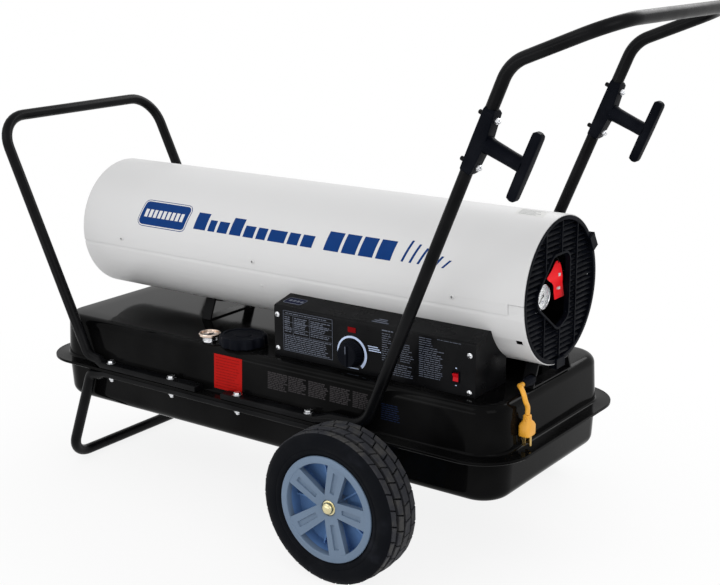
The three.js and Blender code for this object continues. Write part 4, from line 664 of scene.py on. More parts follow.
def bent_tube(node, run_z, places):
    """A tube through near side (x, z, bend) places and their mirror images, pressed flat on its bolted run."""
    near_side = [((x, -TUBE_SPAN, z), bend[0] if bend else 0.0) for x, z, *bend in places]
    far_side = [((x, -y, z), bend) for (x, y, z), bend in reversed(near_side)]
    stations = bent_path([*near_side, *far_side])
    rounds = arc(TUBE_R, 0, 345, 23)

    def pressed_to(value, stretch, half):
        return float(np.clip(value / TUBE_R * stretch, -1, 1)) * half

    pressed = [(pressed_to(u, 1.25, TUBE_FLAT[0]), pressed_to(v, 1.5, TUBE_FLAT[1])) for u, v in rounds]
    form = sweep(stations, lambda i: pressed if abs(stations[i][0][2] - run_z) < 0.5 else rounds)
    node_piece(node, form, "satin_black", "tube", bevel=1.0, sharp=50)


FOOT_X, FOOT_TOP_X = -490, -421
FRONT_LEG_X, FRONT_TOP = -424, (-634, 659.3)
REAR_LEG_X, REAR_BEND, REAR_GRIP = 217, (470.7, 818.7), (634, 883)
FIRST_BOLT, LAST_BOLT = BOLT_X[0], BOLT_X[-1]

bent_tube("front_handle", HANDLE_RUN_Z, [
    (-145, HANDLE_RUN_Z),
    (FIRST_BOLT - 18, HANDLE_RUN_Z),
    (FRONT_LEG_X + 26, HANDLE_ROUND_Z),
    (FRONT_LEG_X, HANDLE_ROUND_Z + 4, 22.5),
    (*FRONT_TOP, 60),
])
bent_tube("rear_handle", HANDLE_RUN_Z, [
    (-85, HANDLE_RUN_Z),
    (LAST_BOLT + 18, HANDLE_RUN_Z),
    (LAST_BOLT + 48, HANDLE_ROUND_Z),
    (REAR_LEG_X, HANDLE_ROUND_Z, 45),
    (*REAR_BEND, 60),
    (*REAR_GRIP, 60),
])
bent_tube("wheel_frame", RAIL_Z, [
    (AXLE_X, AXLE_Z - 2 * AXLE_R),
    (AXLE_X, RAIL_ROUND_Z, 45),
    (LAST_BOLT + 50, RAIL_ROUND_Z),
    (LAST_BOLT + 18, RAIL_Z),
    (FIRST_BOLT - 12, RAIL_Z),
    (FIRST_BOLT - 30, RAIL_ROUND_Z),
    (FOOT_TOP_X, RAIL_ROUND_Z - 3, 15),
    (FOOT_X, TUBE_R, 45),
])


SIDES = (("near", -1), ("far", 1))


def hex_head(radius, low, high):
    """A hexagon standing on Z, its top edge broken."""
    levels = [(radius, low), (radius, high - radius * 0.14), (radius * 0.9, high)]
    return loft([[(u, v, z) for u, v in hexagon(r)] for r, z in levels])


def make_bolts():
    """Hex bolts through handle, flange and rail, with washers and nuts."""
    head = HANDLE_RUN_Z + TUBE_FLAT[1] + CLEARANCE
    nut = RAIL_Z - TUBE_FLAT[1] - CLEARANCE
    form = merged(
        cylinder("z", 8.6, head, head + 1.1),
        hex_head(7, head + 1.1, head + 5.5),
        turned(shifted(hex_head(7, 0, 5.5), z=-nut), "x", 180),
        lathe("z", [(0, nut - 9.5), (3.2, nut - 9.5), (4, nut - 8.7), (4, head + 1), (0, head + 1)], 24),
    )
    for side, sign in SIDES:
        for i, x in enumerate(BOLT_X):
            node_piece(f"handle_bolt_{side}_{i + 1}", shifted(form, x, sign * TUBE_SPAN), "zinc", bevel=0.25)


make_bolts()


# ---------------------------------------------------------------- cord cleats


def make_cleats():
    """Moulded cleats: a saddle on the leg, a round stem and a boat-shaped bar."""
    leg = unit(np.array([REAR_BEND[0] - REAR_LEG_X, 0, REAR_BEND[1] - HANDLE_ROUND_Z]))
    foot = np.array([REAR_LEG_X, 0, HANDLE_ROUND_Z]) + leg * 526
    cleat_axes = np.array([(leg[2], 0, -leg[0]), (0, 1, 0), leg])

    def lofted(half, middle, round_by):
        """Mirrors levels of (z, half width, low, high) about the cleat's middle and skins them."""
        rings = []
        for z, w, low, high in [*half, *middle, *[(-z, *rest) for z, *rest in reversed(half)]]:
            rings.append([(u, v, z) for u, v in soft_rectangle(low, -w, high, w, round_by(w))])
        return loft(rings)

    saddle = [(-52, 9, -7.5, 10), (-48, 12.6, -7.5, 12.5), (-20, 13, -7.5, 15)]
    saddle = lofted(saddle, [(0, 13.2, -7.5, 17.1)], lambda w: 2)
    bar = [(-55, 5.5, 79, 87), (-52, 8, 75.4, 90), (-48, 8.6, 75.2, 90.8), (-9, 9.4, 75.2, 91)]
    stem = lathe("x", [(0, 12.5), (14.5, 12.5), (14, 17), (12.6, 24), (11.8, 60), (12, 78), (0, 82)], 48)
    arm = merged(lofted(bar, [], lambda w: min(w, 4) * 0.8), stem)
    head = [(0, -17.5), (2.6, -17.3), (3.6, -16), (3.8, -9.7), (0, -9.7)]
    shank = [(0, -10.5), (2.6, -10.5), (2.6, 20.1), (2, 20.9), (0, 20.9)]
    bolts, nuts = [], []
    for z in (-38, 38):
        bolts.append(shifted(lathe("x", head, 24), z=z))
        nuts.append(shifted(turned(hex_head(5.4, 13.3, 17.9), "y", 90), z=z))
        nuts.append(shifted(lathe("x", shank, 20), z=z))
    room = cylinder("z", TUBE_R + CLEARANCE, -60, 60, 48)
    for side, sign in SIDES:
        where = foot + np.array([0, sign * TUBE_SPAN, 0])

        def placed(form):
            return form[0] @ cleat_axes + where, form[1]

        node = f"cord_cleat_{side}"
        carved(node_piece(node, placed(saddle), "black_plastic", bevel=0.7, sharp=35), placed(room))
        piece(f"{node}_arm", placed(arm), "black_plastic", bevel=0.7, sharp=35)
        piece(f"{node}_bolts", placed(merged(*bolts)), "satin_black", bevel=0.2)
        piece(f"{node}_nuts", placed(merged(*nuts)), "zinc", bevel=0.2)


make_cleats()


# ---------------------------------------------------------------- wheels

HUB_RING = (75.5, 88)
HUB_FACE = 37.0
SPOKES = 5


def tread():
    """Long staggered blocks in four rows with narrow grooves between them."""
    blocks = []
    count = 30
    for row, (y, half) in enumerate([(-26, 5.6), (-9, 6.6), (9, 6.6), (26, 5.6)]):
        lean = 2.2 if y < 0 else -2.2
        drop = 1.6 if abs(y) > 20 else 0.2
        rings = []
        for r, inset in [(119.5, 0), (126.4 - drop, 0.1), (127 - drop, 0.7)]:
            span = 11.9 - inset
            corners = [(-span - lean, -half + inset), (span - lean, -half + inset)]
            corners += [(span + lean, half - inset), (-span + lean, half - inset)]
            rings.append([(u, y + v, math.sqrt(r * r - u * u)) for u, v in corners])
        blocks.append(around(loft(rings), "y", count, 180 / count * (row % 2)))
    return merged(*blocks)


def tyre_profile():
    """The tyre's closed profile, mirrored about the wheel's middle plane."""
    side = [(82.3, 33), (88.6, 33.2), (89.6, 34.4), (93.5, 37), (97, 37.7), (98.6, 36.9), (100, 37.8)]
    side += [(108, 37.9), (114, 37.2), (119, 35.6), (122.4, 33), (123.6, 31.8), (121.6, 31), (121.4, 24)]
    return [*side, *[(r, -h) for r, h in reversed(side)]]


def hub_spoke():
    """One wide spoke with a long channel in its face."""
    rings = []
    for r, width, face, depth in [
        (13, 12.5, 27.5, 0), (27, 13.6, 29.8, 0), (28.2, 13.7, 30, 3.2), (66, 16.6, 35, 3.2),
        (67.2, 16.7, 35.2, 0), (78, 17.4, 36.4, 0),
    ]:
        groove = width * 0.3
        left = [(-width, -face), (-groove, -face), (-groove * 0.86, depth - face)]
        right = [(-u, v) for u, v in reversed(left)]
        outline = [*left, *right, (width * 0.93, -face + 11), (-width * 0.93, -face + 11)]
        rings.append([(u, v, r) for u, v in outline])
    return loft(rings)


def make_wheels():
    """Tyre, tread, hub, cap nut and spacer at each end of the axle, drawn about Y with the outer face at -Y."""
    r0, r1 = HUB_RING
    ring = [(r0, -34), (r0 + 0.6, -HUB_FACE + 0.6), (r0 + 1.6, -HUB_FACE), (r1 - 2.6, -HUB_FACE)]
    ring += [(r1 - 0.6, -HUB_FACE + 0.8), (r1, -HUB_FACE + 2), (r1, -33.6), (82, -33.2), (82, -24), (r0 + 0.6, -24)]
    boss = [(BORE_R, -24.5), (13.4, -24.5), (13.4, -26.8), (15.6, -27.4), (19.5, -27), (21.5, -25), (21.5, -3)]
    boss += [(BORE_R, -3)]
    face = merged(lathe("y", ring, 96), lathe("y", boss, 64), around(hub_spoke(), "y", SPOKES, 18))
    inner = [(BORE_R, -3.5), (76.2, -3.5), (76.2, -30), (82, -30), (82, 33.5), (88, 33.5), (88, 37), (76, 37), (76, 3)]
    inner += [(17, 3), (17, 30), (BORE_R, 30)]
    web = merged(lathe("y", inner, 96), around(block((17, -10, -1.6), (76.5, -2, 1.6)), "y", 10))
    nut = [(BORE_R, -24.3), (12, -24.3), (12, -26.3), (9.8, -26.8), (9.8, -30.3), (9, -32.2), (7.2, -33.7), (4, -34.8)]
    nut += [(0, -35.2), (0, -32), (BORE_R, -32)]
    end = WHEEL_Y - TUBE_SPAN - TUBE_R - CLEARANCE
    spacer = [(BORE_R, 30.3), (11.4, 30.3), (12, 30.9), (12, end - 0.6), (11.4, end), (BORE_R, end)]
    for side, sign in SIDES:
        body = f"wheel_{side}"

        def placed(form):
            if sign > 0:
                form = turned(form, "z", 180)
            return shifted(form, AXLE_X, sign * WHEEL_Y, AXLE_Z)

        node_piece(f"tyre_{side}", placed(lathe("y", tyre_profile(), 96)), "tyre_rubber", body=body, sharp=40)
        piece(f"tread_{side}", placed(tread()), "tread_rubber", body, bevel=0.5)
        node_piece(f"hub_{side}", placed(face), "hub_plastic", "face", body=body, bevel=0.7, sharp=30)
        # The web is the hub's plastic painted lighter, as painted light against the shade inside the hub.
        piece(f"hub_{side}_web", placed(web), "hub_inside_painted_light", body, bevel=0.5)
        node_piece(f"cap_nut_{side}", placed(lathe("y", nut, 48)), "yellow_zinc", sharp=40)
        node_piece(f"axle_spacer_{side}", placed(lathe("y", spacer, 48)), "yellow_zinc", sharp=40)
    reach = WHEEL_Y + 31
    rod = [(0, -reach), (5.7, -reach), (AXLE_R, -reach + 1), (AXLE_R, reach - 1), (5.7, reach), (0, reach)]
    piece("axle_rod", shifted(lathe("y", rod, 40), AXLE_X, 0, AXLE_Z), "zinc", replaces=["axle"], sharp=40)


make_wheels()


# ---------------------------------------------------------------- fuel tank


def tank_ring(inset, z):
    """A rounded rectangle, drawn in from the tank's outer wall by an inset."""
    x0, x1 = TANK_LOW[0] + FLANGE_WIDTH + inset, TANK_HIGH[0] - FLANGE_WIDTH - inset
    half, bend = TANK_HALF_WIDTH - inset, max(TANK_CORNER - inset, 2)
    return [(x, y, z) for x, y in soft_rectangle(x0, -half, x1, half, bend, 14)]


def tank_half(node, face_z, seam_z, edge):
    """A pressed half: its end face, rounded edge, wall, and flange."""
    up = 1 if face_z > seam_z else -1
    rings = [tank_ring(TANK_DRAFT + edge + 30, face_z)]
    for a in np.linspace(90, 0, 9):
        c, s = math.cos(math.radians(a)), math.sin(math.radians(a))
        rings.append(tank_ring(TANK_DRAFT + edge * (1 - c), face_z - up * edge * (1 - s)))
    flange = seam_z + up * FLANGE_THICKNESS
    for a in np.linspace(0, 90, 5):
        c, s = math.cos(math.radians(a)), math.sin(math.radians(a))
        rings.append(tank_ring(-4 + 4 * c, flange + up * 4 * (1 - s)))
    rings += [
        tank_ring(-FLANGE_WIDTH + 0.8, flange),
        tank_ring(-FLANGE_WIDTH, flange - up * 0.8),
        tank_ring(-FLANGE_WIDTH, seam_z),
        tank_ring(SHEET, seam_z),
        tank_ring(TANK_DRAFT + SHEET, face_z - up * (edge + SHEET)),
        tank_ring(TANK_DRAFT + SHEET + edge, face_z - up * SHEET),
    ]
    return node_piece(node, loft(rings), "gloss_black", sharp=45)


def upright_cylinder(radius, low, high, x, y):
    return shifted(cylinder("z", radius, low, high, 48), x, y)


def make_tank():
    top = TANK_HIGH[2]
    holes = [(27.3, *CAP[:2]), (8.3, *LEVEL_GAUGE[:2]), (6.5, 60, -110)]
    upper = tank_half("tank_upper", top, SEAM_OVER, TANK_TOP_EDGE)
    carved(upper, *[upright_cylinder(r, top - 20, top + 5, x, y) for r, x, y in holes])
    lower = tank_half("tank_lower", TANK_BOTTOM, SEAM_UNDER, TANK_BOTTOM_EDGE)
    channel_r = AXLE_R + 3
    carved(lower, shifted(cylinder("y", channel_r, -200, 200, 40), AXLE_X, 0, AXLE_Z))
    shell_r = channel_r + SHEET
    inside = [(channel_r, -188), (shell_r, -188), (shell_r, 188), (channel_r, 188)]
    roof = piece("axle_channel", shifted(lathe("y", inside, 40), AXLE_X, 0, AXLE_Z), "gloss_black", sharp=40)
    carved(roof, block((AXLE_X - 20, -200, AXLE_Z - 20), (AXLE_X + 20, 200, TANK_BOTTOM)))


make_tank()


def waved_ring(centre, radius, depth, wave, turn_axes):
    """Points round a centre, the radius drawn in by a wave; turn_axes are the two axes of the ring."""
    angles = np.linspace(0, 2 * math.pi, len(wave), endpoint=False)
    points = np.tile(np.asarray(centre, float), (len(wave), 1))
    for axis, share in zip(turn_axes, (np.cos(angles), np.sin(angles))):
        points[:, axis] = centre[axis] + (radius - depth * wave) * share
    return points


def make_filler():
    """The filler neck and its moulded cap with finger lobes."""
    refined("filler_neck", "bare_steel", bevel=0.3)
    lobes = 10
    angles = np.linspace(0, 2 * math.pi, lobes * 12, endpoint=False)
    wave = 1 - np.clip(1.4 * np.cos(angles * lobes) + 0.7, -1, 1)
    r, base, top = CAP_R, CAP_BASE, CAP_TOP
    levels = [(29.2, 0, base), (r - 1.2, 1.7, base), (r, 1.8, base + 1.2), (r, 1.8, top - 4), (r - 0.8, 1.7, top - 1.8)]
    levels += [(r - 2.6, 1.2, top - 0.4), (r - 4.6, 0.3, top), (r - 8.2, 0, top), (r - 9.4, 0, top - 1.6)]
    levels += [(15, 0, top - 1.9), (14, 0, top - 0.9), (3, 0, top - 0.7)]
    rings = [waved_ring((*CAP[:2], z), radius, depth, wave, (0, 1)) for radius, depth, z in levels]
    cap = node_piece("fuel_cap", loft(rings), "black_plastic", sharp=48)
    neck_room = upright_cylinder(29.2, base - 1, TANK_HIGH[2] + 14.4, CAP[0], CAP[1])
    carved(cap, neck_room, upright_cylinder(32.6, base - 2, base + 1, CAP[0], CAP[1]))


make_filler()


def make_level_gauge():
    """The fuel gauge: threaded base, bright bezel, dished dial and pointer."""
    x, y = LEVEL_GAUGE[0], LEVEL_GAUGE[1]
    top, r = LEVEL_GAUGE_TOP, LEVEL_GAUGE_R
    base = [(0, 293.3), (13, 293.3), (13, 296), (11.6, 296.7), (11.6, 297.5), (13, 298.2), (13, 299.4)]
    base += [(11.6, 300.1), (11.6, 300.8), (13, 301.4), (13, 302.2), (0, 302.2)]
    stem = [(0, 173), (15, 173), (15, 195), (2.5, 195), (2.5, 284), (8, 284), (8, 294), (0, 294)]
    low = merged(lathe("z", base, 64), lathe("z", stem, 40))
    node_piece("fuel_gauge", shifted(low, x, y), "chrome", "base", bevel=0.3)
    bezel = [(12.5, 302), (15, 302.2), (r - 0.7, top - 5.6), (r, top - 4.6), (r, top - 1.4), (r - 0.8, top - 0.3)]
    bezel += [(r - 1.9, top), (r - 3, top - 0.8), (r - 3.6, top - 3.9), (0, top - 4), (0, 302)]
    piece("fuel_gauge_bezel", shifted(lathe("z", bezel, 80), x, y), "bronze", sharp=30)
    face = lathe("z", [(0, top - 3.97), (r - 3.9, top - 3.97), (r - 4, top - 3.75), (0, top - 3.75)], 64)
    mark = block((-0.35, r - 7, top - 3.78), (0.35, r - 4.6, top - 3.68))
    scale = merged(*[turned(mark, "z", a) for a in range(-75, 76, 25)])
    piece("fuel_gauge_dial", shifted(face, x, y), "chrome")
    piece("fuel_gauge_scale", shifted(scale, x, y), "black_ink", slot="black_plastic")
    refined("fuel_gauge_pointer", "black_ink", bevel=0.1)


make_level_gauge()


# ---------------------------------------------------------------- barrel


def barrel_point(x, radius, degrees):
    """A point round the barrel's axis, the angle from +Y over the top."""
    a = math.radians(degrees)
    return (x, radius * math.cos(a), BARREL_Z + radius * math.sin(a))


def rolled_profile(x0, x1, outer, lip=True):
    """The closed profile of a shell's sheet with its ends turned in."""
    inner = outer - SHEET
    foot = inner - 4 if lip else inner
    half = [(outer, x1 - 1.4), (outer - 0.4, x1 - 0.4), (outer - 1.4, x1), (foot + 0.2, x1), (foot, x1 - 0.3)]
    half += [(foot, x1 - 1.3), (inner - 0.2, x1 - 1.5), (inner, x1 - 1.7)]
    other = [(r, x0 + x1 - x) for r, x in reversed(half)]
    return [*half, *other]


def shell_rings(spans):
    """Rings round the barrel's axis; each span is (from, to, steps, profile)."""
    rings = []
    for start, end, steps, profile in spans:
        for a in np.linspace(start, end, steps + 1):
            rings.append([barrel_point(x, r, a) for r, x in profile])
    return loft(rings)


def wrapped(outline, lift=0.15, steps=24):
    """A convex outline of (x, degrees) laid on the barrel as a thin film."""
    low, high = min(a for _, a in outline), max(a for _, a in outline)
    rings = []
    for a in np.linspace(low + 1e-3, high - 1e-3, steps + 1):
        crossings = []
        for (x0, a0), (x1, a1) in zip(outline, [*outline[1:], outline[0]]):
            if min(a0, a1) <= a < max(a0, a1):
                crossings.append(x0 + (x1 - x0) * (a - a0) / (a1 - a0))
        x0, x1 = min(crossings), max(crossings)
        top, under = BARREL_R + lift, BARREL_R - 0.3
        rings.append([barrel_point(x, r, a) for x, r in ((x0, top), (x1, top), (x1, under), (x0, under))])
    return loft(rings)


def on_barrel(x, degrees, form):
    """A form drawn about Z, its foot at the origin, stood on the barrel."""
    points = np.asarray(form[0], float)
    a = math.radians(degrees)
    out = np.array((0, math.cos(a), math.sin(a)))
    round_way = np.array((0, math.sin(a), -math.cos(a)))
    base = np.array((x, 0, BARREL_Z)) + out * BARREL_R
    along = points[:, :1] * np.array((1, 0, 0))
    return base + along + points[:, 1:2] * round_way + points[:, 2:] * out, form[1]


def make_shells():
    """Both halves of the barrel: the lower one's edges lie under the upper one's, and it has holes and slots."""
    lipped = rolled_profile(BARREL_X0, BARREL_X1, BARREL_R)
    lap = rolled_profile(BARREL_X0, BARREL_X1 - 28, BARREL_R, lip=False)
    upper = shell_rings([(-8.5, 0, 5, lap), (0.02, 179.98, 96, lipped), (180, 188.5, 5, lap)])
    node_piece("upper_shell", upper, "white_enamel", sharp=30)
    under = rolled_profile(BARREL_X0, BARREL_X1, BARREL_R - 2.1, lip=False)
    lower = shell_rings([(180.5, 188.6, 5, under), (191, 349, 84, lipped), (351.4, 359.5, 5, under)])
    shell = node_piece("lower_shell", lower, "white_enamel", sharp=30)
    hole = turned(cylinder("y", 6.5, 100, 135), "x", -143)
    cutters = [shifted(shifted(hole, 0, 0, BARREL_Z), x) for x in (375, 196, 165)]
    for x, length, degrees, height in ((441, 12, -148, 9), (417, 26, -122, 3)):
        slot = block((-length / 2, 100, -height / 2), (length / 2, 135, height / 2))
        cutters.append(shifted(turned(slot, "x", degrees), x, 0, BARREL_Z))
    carved(shell, *cutters, solver="MANIFOLD")


make_shells()


def pan_screw(radius=4.4, height=2.4):
    """A cross-recess screw head standing on Z."""
    dome = [(0, -0.3), (radius, -0.3), (radius, height * 0.45), (radius * 0.75, height * 0.85), (0, height)]
    return lathe("z", dome, 28)


def recess_shade_cross(radius=4.4, height=2.4):
    """Painted shade: a dark cross that stands for the shade in a screw head's cross recess."""
    half = radius * 0.55
    return merged(
        block((-half, -0.5, height * 0.5), (half, 0.5, height + 0.06)),
        block((-0.5, -half, height * 0.5), (0.5, half, height + 0.06)),
    )


def make_barrel_screws():
    """Screws along the seam on both sides, and the chamber's screws lower down."""
    heads, crosses = [], []
    for a, places in ((181.5, (-404.6, -82.4, 329)), (-1.5, (-404.6, -82.4, 168, 329))):
        for x in places:
            heads.append(on_barrel(x, a, pan_screw(4.2, 2.2)))
            crosses.append(on_barrel(x, a, recess_shade_cross(4.2, 2.2)))
    for a in (202.8, 337.2):
        heads.append(on_barrel(-71, a, pan_screw(2.4, 1.0)))
    piece("seam_screws", merged(*heads), "white_enamel", sharp=40)
    # The dark crosses are painted shade in the screws' recesses.
    piece("seam_screw_painted_shade", merged(*crosses), "black_ink", slot="black_plastic")


make_barrel_screws()


def slanted(x0, x1, low, high, slant):
    """A parallelogram on the barrel's near side, its top to the right by the slant."""
    return [(x0, low), (x1, low), (x1 + slant, high), (x0 + slant, high)]


def rounded_corners(outline, radius, degree_mm=1.0, steps=5, out=0.0):
    """Rounds a convex outline of (x, degrees), whose degrees are degree_mm long, and moves its edges out."""
    flat = [np.array((x, a * degree_mm)) for x, a in outline]
    points = []
    for i, p in enumerate(flat):
        a, b = unit(flat[i - 1] - p), unit(flat[(i + 1) % len(flat)] - p)
        half = math.acos(np.clip(a.dot(b), -1, 1)) / 2
        inward = unit(a + b) / math.sin(half)
        first = a * radius / math.tan(half) - inward * radius
        last = b * radius / math.tan(half) - inward * radius
        for k in np.linspace(0, 1, steps + 1):
            q = p + inward * (radius - out) + unit(first * (1 - k) + last * k) * radius
            points.append((q[0], q[1] / degree_mm))
    return points


def make_barrel_graphics():
    """A plain badge and slanted bars in blue on the near side; a small pale label near the fan end."""
    degree_mm = BARREL_R * math.pi / 180

    def near(outline):
        return [(x, 180 - a) for x, a in outline]

    for name, inset, lift, look in (
        ("edge", 0, 0.12, "blue_print"), ("line", 1.3, 0.2, "white_enamel"), ("field", 3.4, 0.28, "blue_print"),
    ):
        ring = rounded_corners(slanted(-368.5, -248, 13, 37.2, 13.5), 11 - inset, degree_mm, out=-inset)
        piece(f"badge_{name}", wrapped(near(ring), lift), look)
    marks = [wrapped(near(slanted(x, x + 7.5, 21.5, 28.5, 3)), 0.36, 8) for x in np.arange(-351, -262, 11)]
    piece("badge_bars", merged(*marks), "white_enamel")
    low, gap, bars = 17.6, 6, []
    small, tall, taller = 27.4, 32.4, 33.4
    for x, widths in (
        (-226, ((28, tall), (16, small), (23, small), (26, tall), (23, small), (21, small), (37, small), (23, small),
                (25, small))),
        (69, ((31, taller), (29, taller), (29, taller), (30, taller))),
    ):
        for width, high in widths:
            lean = 0.2 * (high - low) * degree_mm
            bars.append(wrapped(near(slanted(x, x + width, low, high, lean)), 0.15, 10))
            x += width + gap
    piece("stripe_bars", merged(*bars), "blue_print")
    thin = []
    for i in range(6):
        outline = slanted(226 + 15.5 * i, 230.5 + 15.5 * i, 18.5, 36 - 2.2 * i, 13)
        thin.append(wrapped(near(outline), 0.15, 10))
    piece("stripe_thin_bars", merged(*thin), "blue_print")
    piece("pale_label", wrapped([(376, 86), (427, 86), (434, 101.5), (383, 101.5)], 0.12, 6), "pale_film")
    lines = []
    for i, a in enumerate((88, 90.6, 93.2, 95.8, 98.4)):
        x0, x1 = 382 + 1.2 * i, 424 - 6 * (i % 3)
        lines.append(wrapped([(x0, a), (x1, a), (x1 + 0.4, a + 1), (x0 + 0.4, a + 1)], 0.2, 1))
    piece("pale_label_lines", merged(*lines), "dust_print")


make_barrel_graphics()


def make_support(node, x):
    """A folded strap: flat on the tank, legs leaning in, and a saddle under the barrel."""
    thick, r, base = 2.5, BARREL_R + CLEARANCE, TANK_HIGH[2] + CLEARANCE
    half = math.degrees(math.asin(50 / r))
    outer = [(-66, base), (66, base), *arc(r, -90 + half, -90 - half, 16, 0, BARREL_Z)]
    inner = [(66 - 2 * thick, base + thick), (-66 + 2 * thick, base + thick)]
    inner += arc(r + thick, -90 - half + 2, -90 + half - 2, 16, 0, BARREL_Z)
    strap = node_piece(node, prism("x", outer, x - 11, x + 11), "satin_black", "strap", bevel=0.6)
    cutters = [prism("x", inner, x - 30, x + 30)]
    if x > 0:
        exit_x, _, exit_z = CORD_POINTS[0]
        cutters.append(shifted(cylinder("y", 9.1, -90, -40), exit_x, 0, exit_z))
    carved(strap, *cutters)


make_support("front_support", -250)
make_support("rear_support", 436)


# ---------------------------------------------------------------- inside the barrel


def make_inside():
    """What shows through the outlet and the guard, and what hides behind it."""
    mouth, r, x0, x1 = 86, 98, -496, 140
    profile = [(mouth, x0 + 4), (mouth + 1, x0 + 1), (mouth + 3, x0), (mouth + 5, x0 + 0.7), (mouth + 6, x0 + 2)]
    profile += [(r, x0 + 28), (r, x1 - 1), (r - 1, x1), (46, x1), (46, x1 - 1.5), (r - 1.5, x1 - 1.5)]
    profile += [(r - 1.5, x0 + 28), (mouth + 1.5, x0 + 7)]
    chamber = shifted(lathe("x", profile, 96), z=BARREL_Z)
    piece("chamber_form", chamber, "hot_stainless", replaces=["combustion_chamber"], sharp=30)
    for look, nodes in (
        ("hot_stainless", ["outlet_baffle"]),
        ("bare_steel", ["chamber_bracket_front", "chamber_bracket_rear", "burner_head"]),
        ("brass", ["nozzle_adapter"]),
        ("ceramic", ["igniter"]),
        ("bare_steel", ["motor_shaft", "motor_bracket"]),
        # The pump is drawn near black as painted shade inside the barrel.
        ("cast_in_painted_shade", ["pump_body", "pump_end_cover"]),
        ("hose_rubber", ["air_hose", "fuel_hose"]),
        ("circuit_board", ["control_board"]),
    ):
        for node in nodes:
            refined(node, look, bevel=0.3, sharp=40)
    refined("fan", "cast_aluminium", bevel=0.2, sharp=30)
    body = [(0, 261), (13, 261), (13, 266), (33, 268), (41, 276), (45, 279), (45, 357), (41, 360), (41, 370)]
    motor = merged(lathe("x", [*body, (0, 370)], 64), around(block((282, 44, -1.2), (352, 47.5, 1.2)), "x", 24))
    node_piece("motor", shifted(motor, z=BARREL_Z), "bare_steel", bevel=0.3)


make_inside()


# ---------------------------------------------------------------- pressure gauge and its tag


def make_pressure_gauge():
    """The case, the dial with its ring of marks, the pointer and the lens, drawn about X."""
    f, r = GAUGE_FRONT, GAUGE_R

    def placed(form):
        return shifted(form, 0, -18.0, 433.0)

    case = [(0, f - 27), (6, f - 27), (6, f - 12), (r - 2, f - 12), (r - 1, f - 11), (r - 1, f - 5), (r - 0.2, f - 4.7)]
    case += [(r, f - 4), (r, f - 0.8), (r - 0.8, f), (r - 2, f), (r - 2.7, f - 1), (r - 3, f - 4), (0, f - 4)]
    node_piece("pressure_gauge", placed(lathe("x", case, 72)), "chrome", "case", sharp=30)
    piece("pressure_dial", placed(cylinder("x", r - 3.2, f - 3.98, f - 3.8, 64)), "dial_face")
    marks = []
    for i in range(28):
        inner, half = (r - 7.6, 0.42) if i % 3 == 0 else (r - 5.6, 0.25)
        marks.append(turned(block((f - 3.82, -half, inner), (f - 3.72, half, r - 3.9)), "x", 135 - i * 10))
    for half, low, high in ((4, -9, -7.6), (2.6, -11.4, -10.4)):
        marks.append(block((f - 3.82, -half, low), (f - 3.72, half, high)))
    piece("pressure_scale", placed(merged(*marks)), "blue_print", slot="black_plastic")
    refined("pressure_pointer", "black_ink", bevel=0.1)
    lens = lathe("x", [(0, f - 1.5), (r - 2.7, f - 1.5), (r - 2.7, f - 1.1), (8, f - 0.6), (0, f - 0.4)], 64)
    piece("pressure_lens", placed(lens), "clear_lens")


make_pressure_gauge()


# ---------------------------------------------------------------- fan guard

WINDOW = [(27, 59), (-27, 59), (-76, 8), (-76, -12), (-8, -62), (26, -48)]
WINDOW_BEND = 16.0
WINDOW_RIM = 3.5
GUARD_R = 115.8
SLAT_PITCH = 8.85


def window_outline(out):
    """The window's rounded outline, moved out by a distance."""
    return rounded_corners(WINDOW, WINDOW_BEND + out, steps=8, out=out)


def crossings(outline, axis, value):
    """Where a line at a value of one axis crosses a convex outline: two places on the other, or none."""
    found = []
    for p, q in zip(outline, outline[1:] + outline[:1]):
        if (p[axis] - value) * (q[axis] - value) < 0:
            t = (value - p[axis]) / (q[axis] - p[axis])
            found.append(p[1 - axis] + t * (q[1 - axis] - p[1 - axis]))
    return sorted(found)


def guard_spans(axis, value):
    """The lengths of a bar at a value of y or z, from rim to rim and clear of the window."""
    half = math.sqrt((GUARD_R - 2.4) ** 2 - value * value) + 1
    gap = crossings(window_outline(1.2), axis, value)
    return [(-half, gap[0]), (gap[1], half)] if gap else [(-half, half)]


def make_guard():
    """The guard: a flanged rim, tilted slats, upright ribs, a framed window and two clips."""
    front = GUARD_FRONT
    back, seat, flange, inner = front - 11, BARREL_X1 + 0.2, BARREL_R - 1.6, GUARD_R - 2.4
    rim = [(GUARD_R, back), (GUARD_R, seat), (flange, seat), (flange, front - 0.3), (flange - 1, front)]
    rim += [(GUARD_R - 1.6, front), (inner, front - 1), (inner, back)]
    slats = []
    for z in np.arange(-12, 13) * SLAT_PITCH:
        for a, b in guard_spans(1, z):
            slats.append(shifted(turned(block((-3.6, a, -0.7), (3.6, b, 0.7)), "y", 38), front - 6, 0, z))
    for y in (-52, 0, 52):
        slats += [block((front - 4, y - 1.1, a), (front - 1, y + 1.1, b)) for a, b in guard_spans(0, y)]
    node_piece("fan_guard", shifted(merged(*slats), z=BARREL_Z), "black_plastic")
    section = ((WINDOW_RIM, 9), (WINDOW_RIM, 0.8), (WINDOW_RIM - 0.8, 0), (0, 0), (0, 9))
    frame_rings = [[(front - depth, u, v) for u, v in window_outline(out)] for out, depth in section]
    clip = merged(
        block((BARREL_X1 + 0.3, -14, 112), (BARREL_X1 + 4, 14, 128)),
        block((BARREL_X1 - 10, -14, BARREL_R + 0.8), (BARREL_X1 + 4, 14, 128)),
    )
    clips = merged(*[turned(clip, "x", a - 90) for a in (-90, 30)])
    rings = merged(lathe("x", rim, 96), loft(frame_rings, closed=True), clips)
    piece("fan_guard_rim", shifted(rings, z=BARREL_Z), "black_plastic", bevel=0.4, sharp=35)


make_guard()


# ---------------------------------------------------------------- side covers


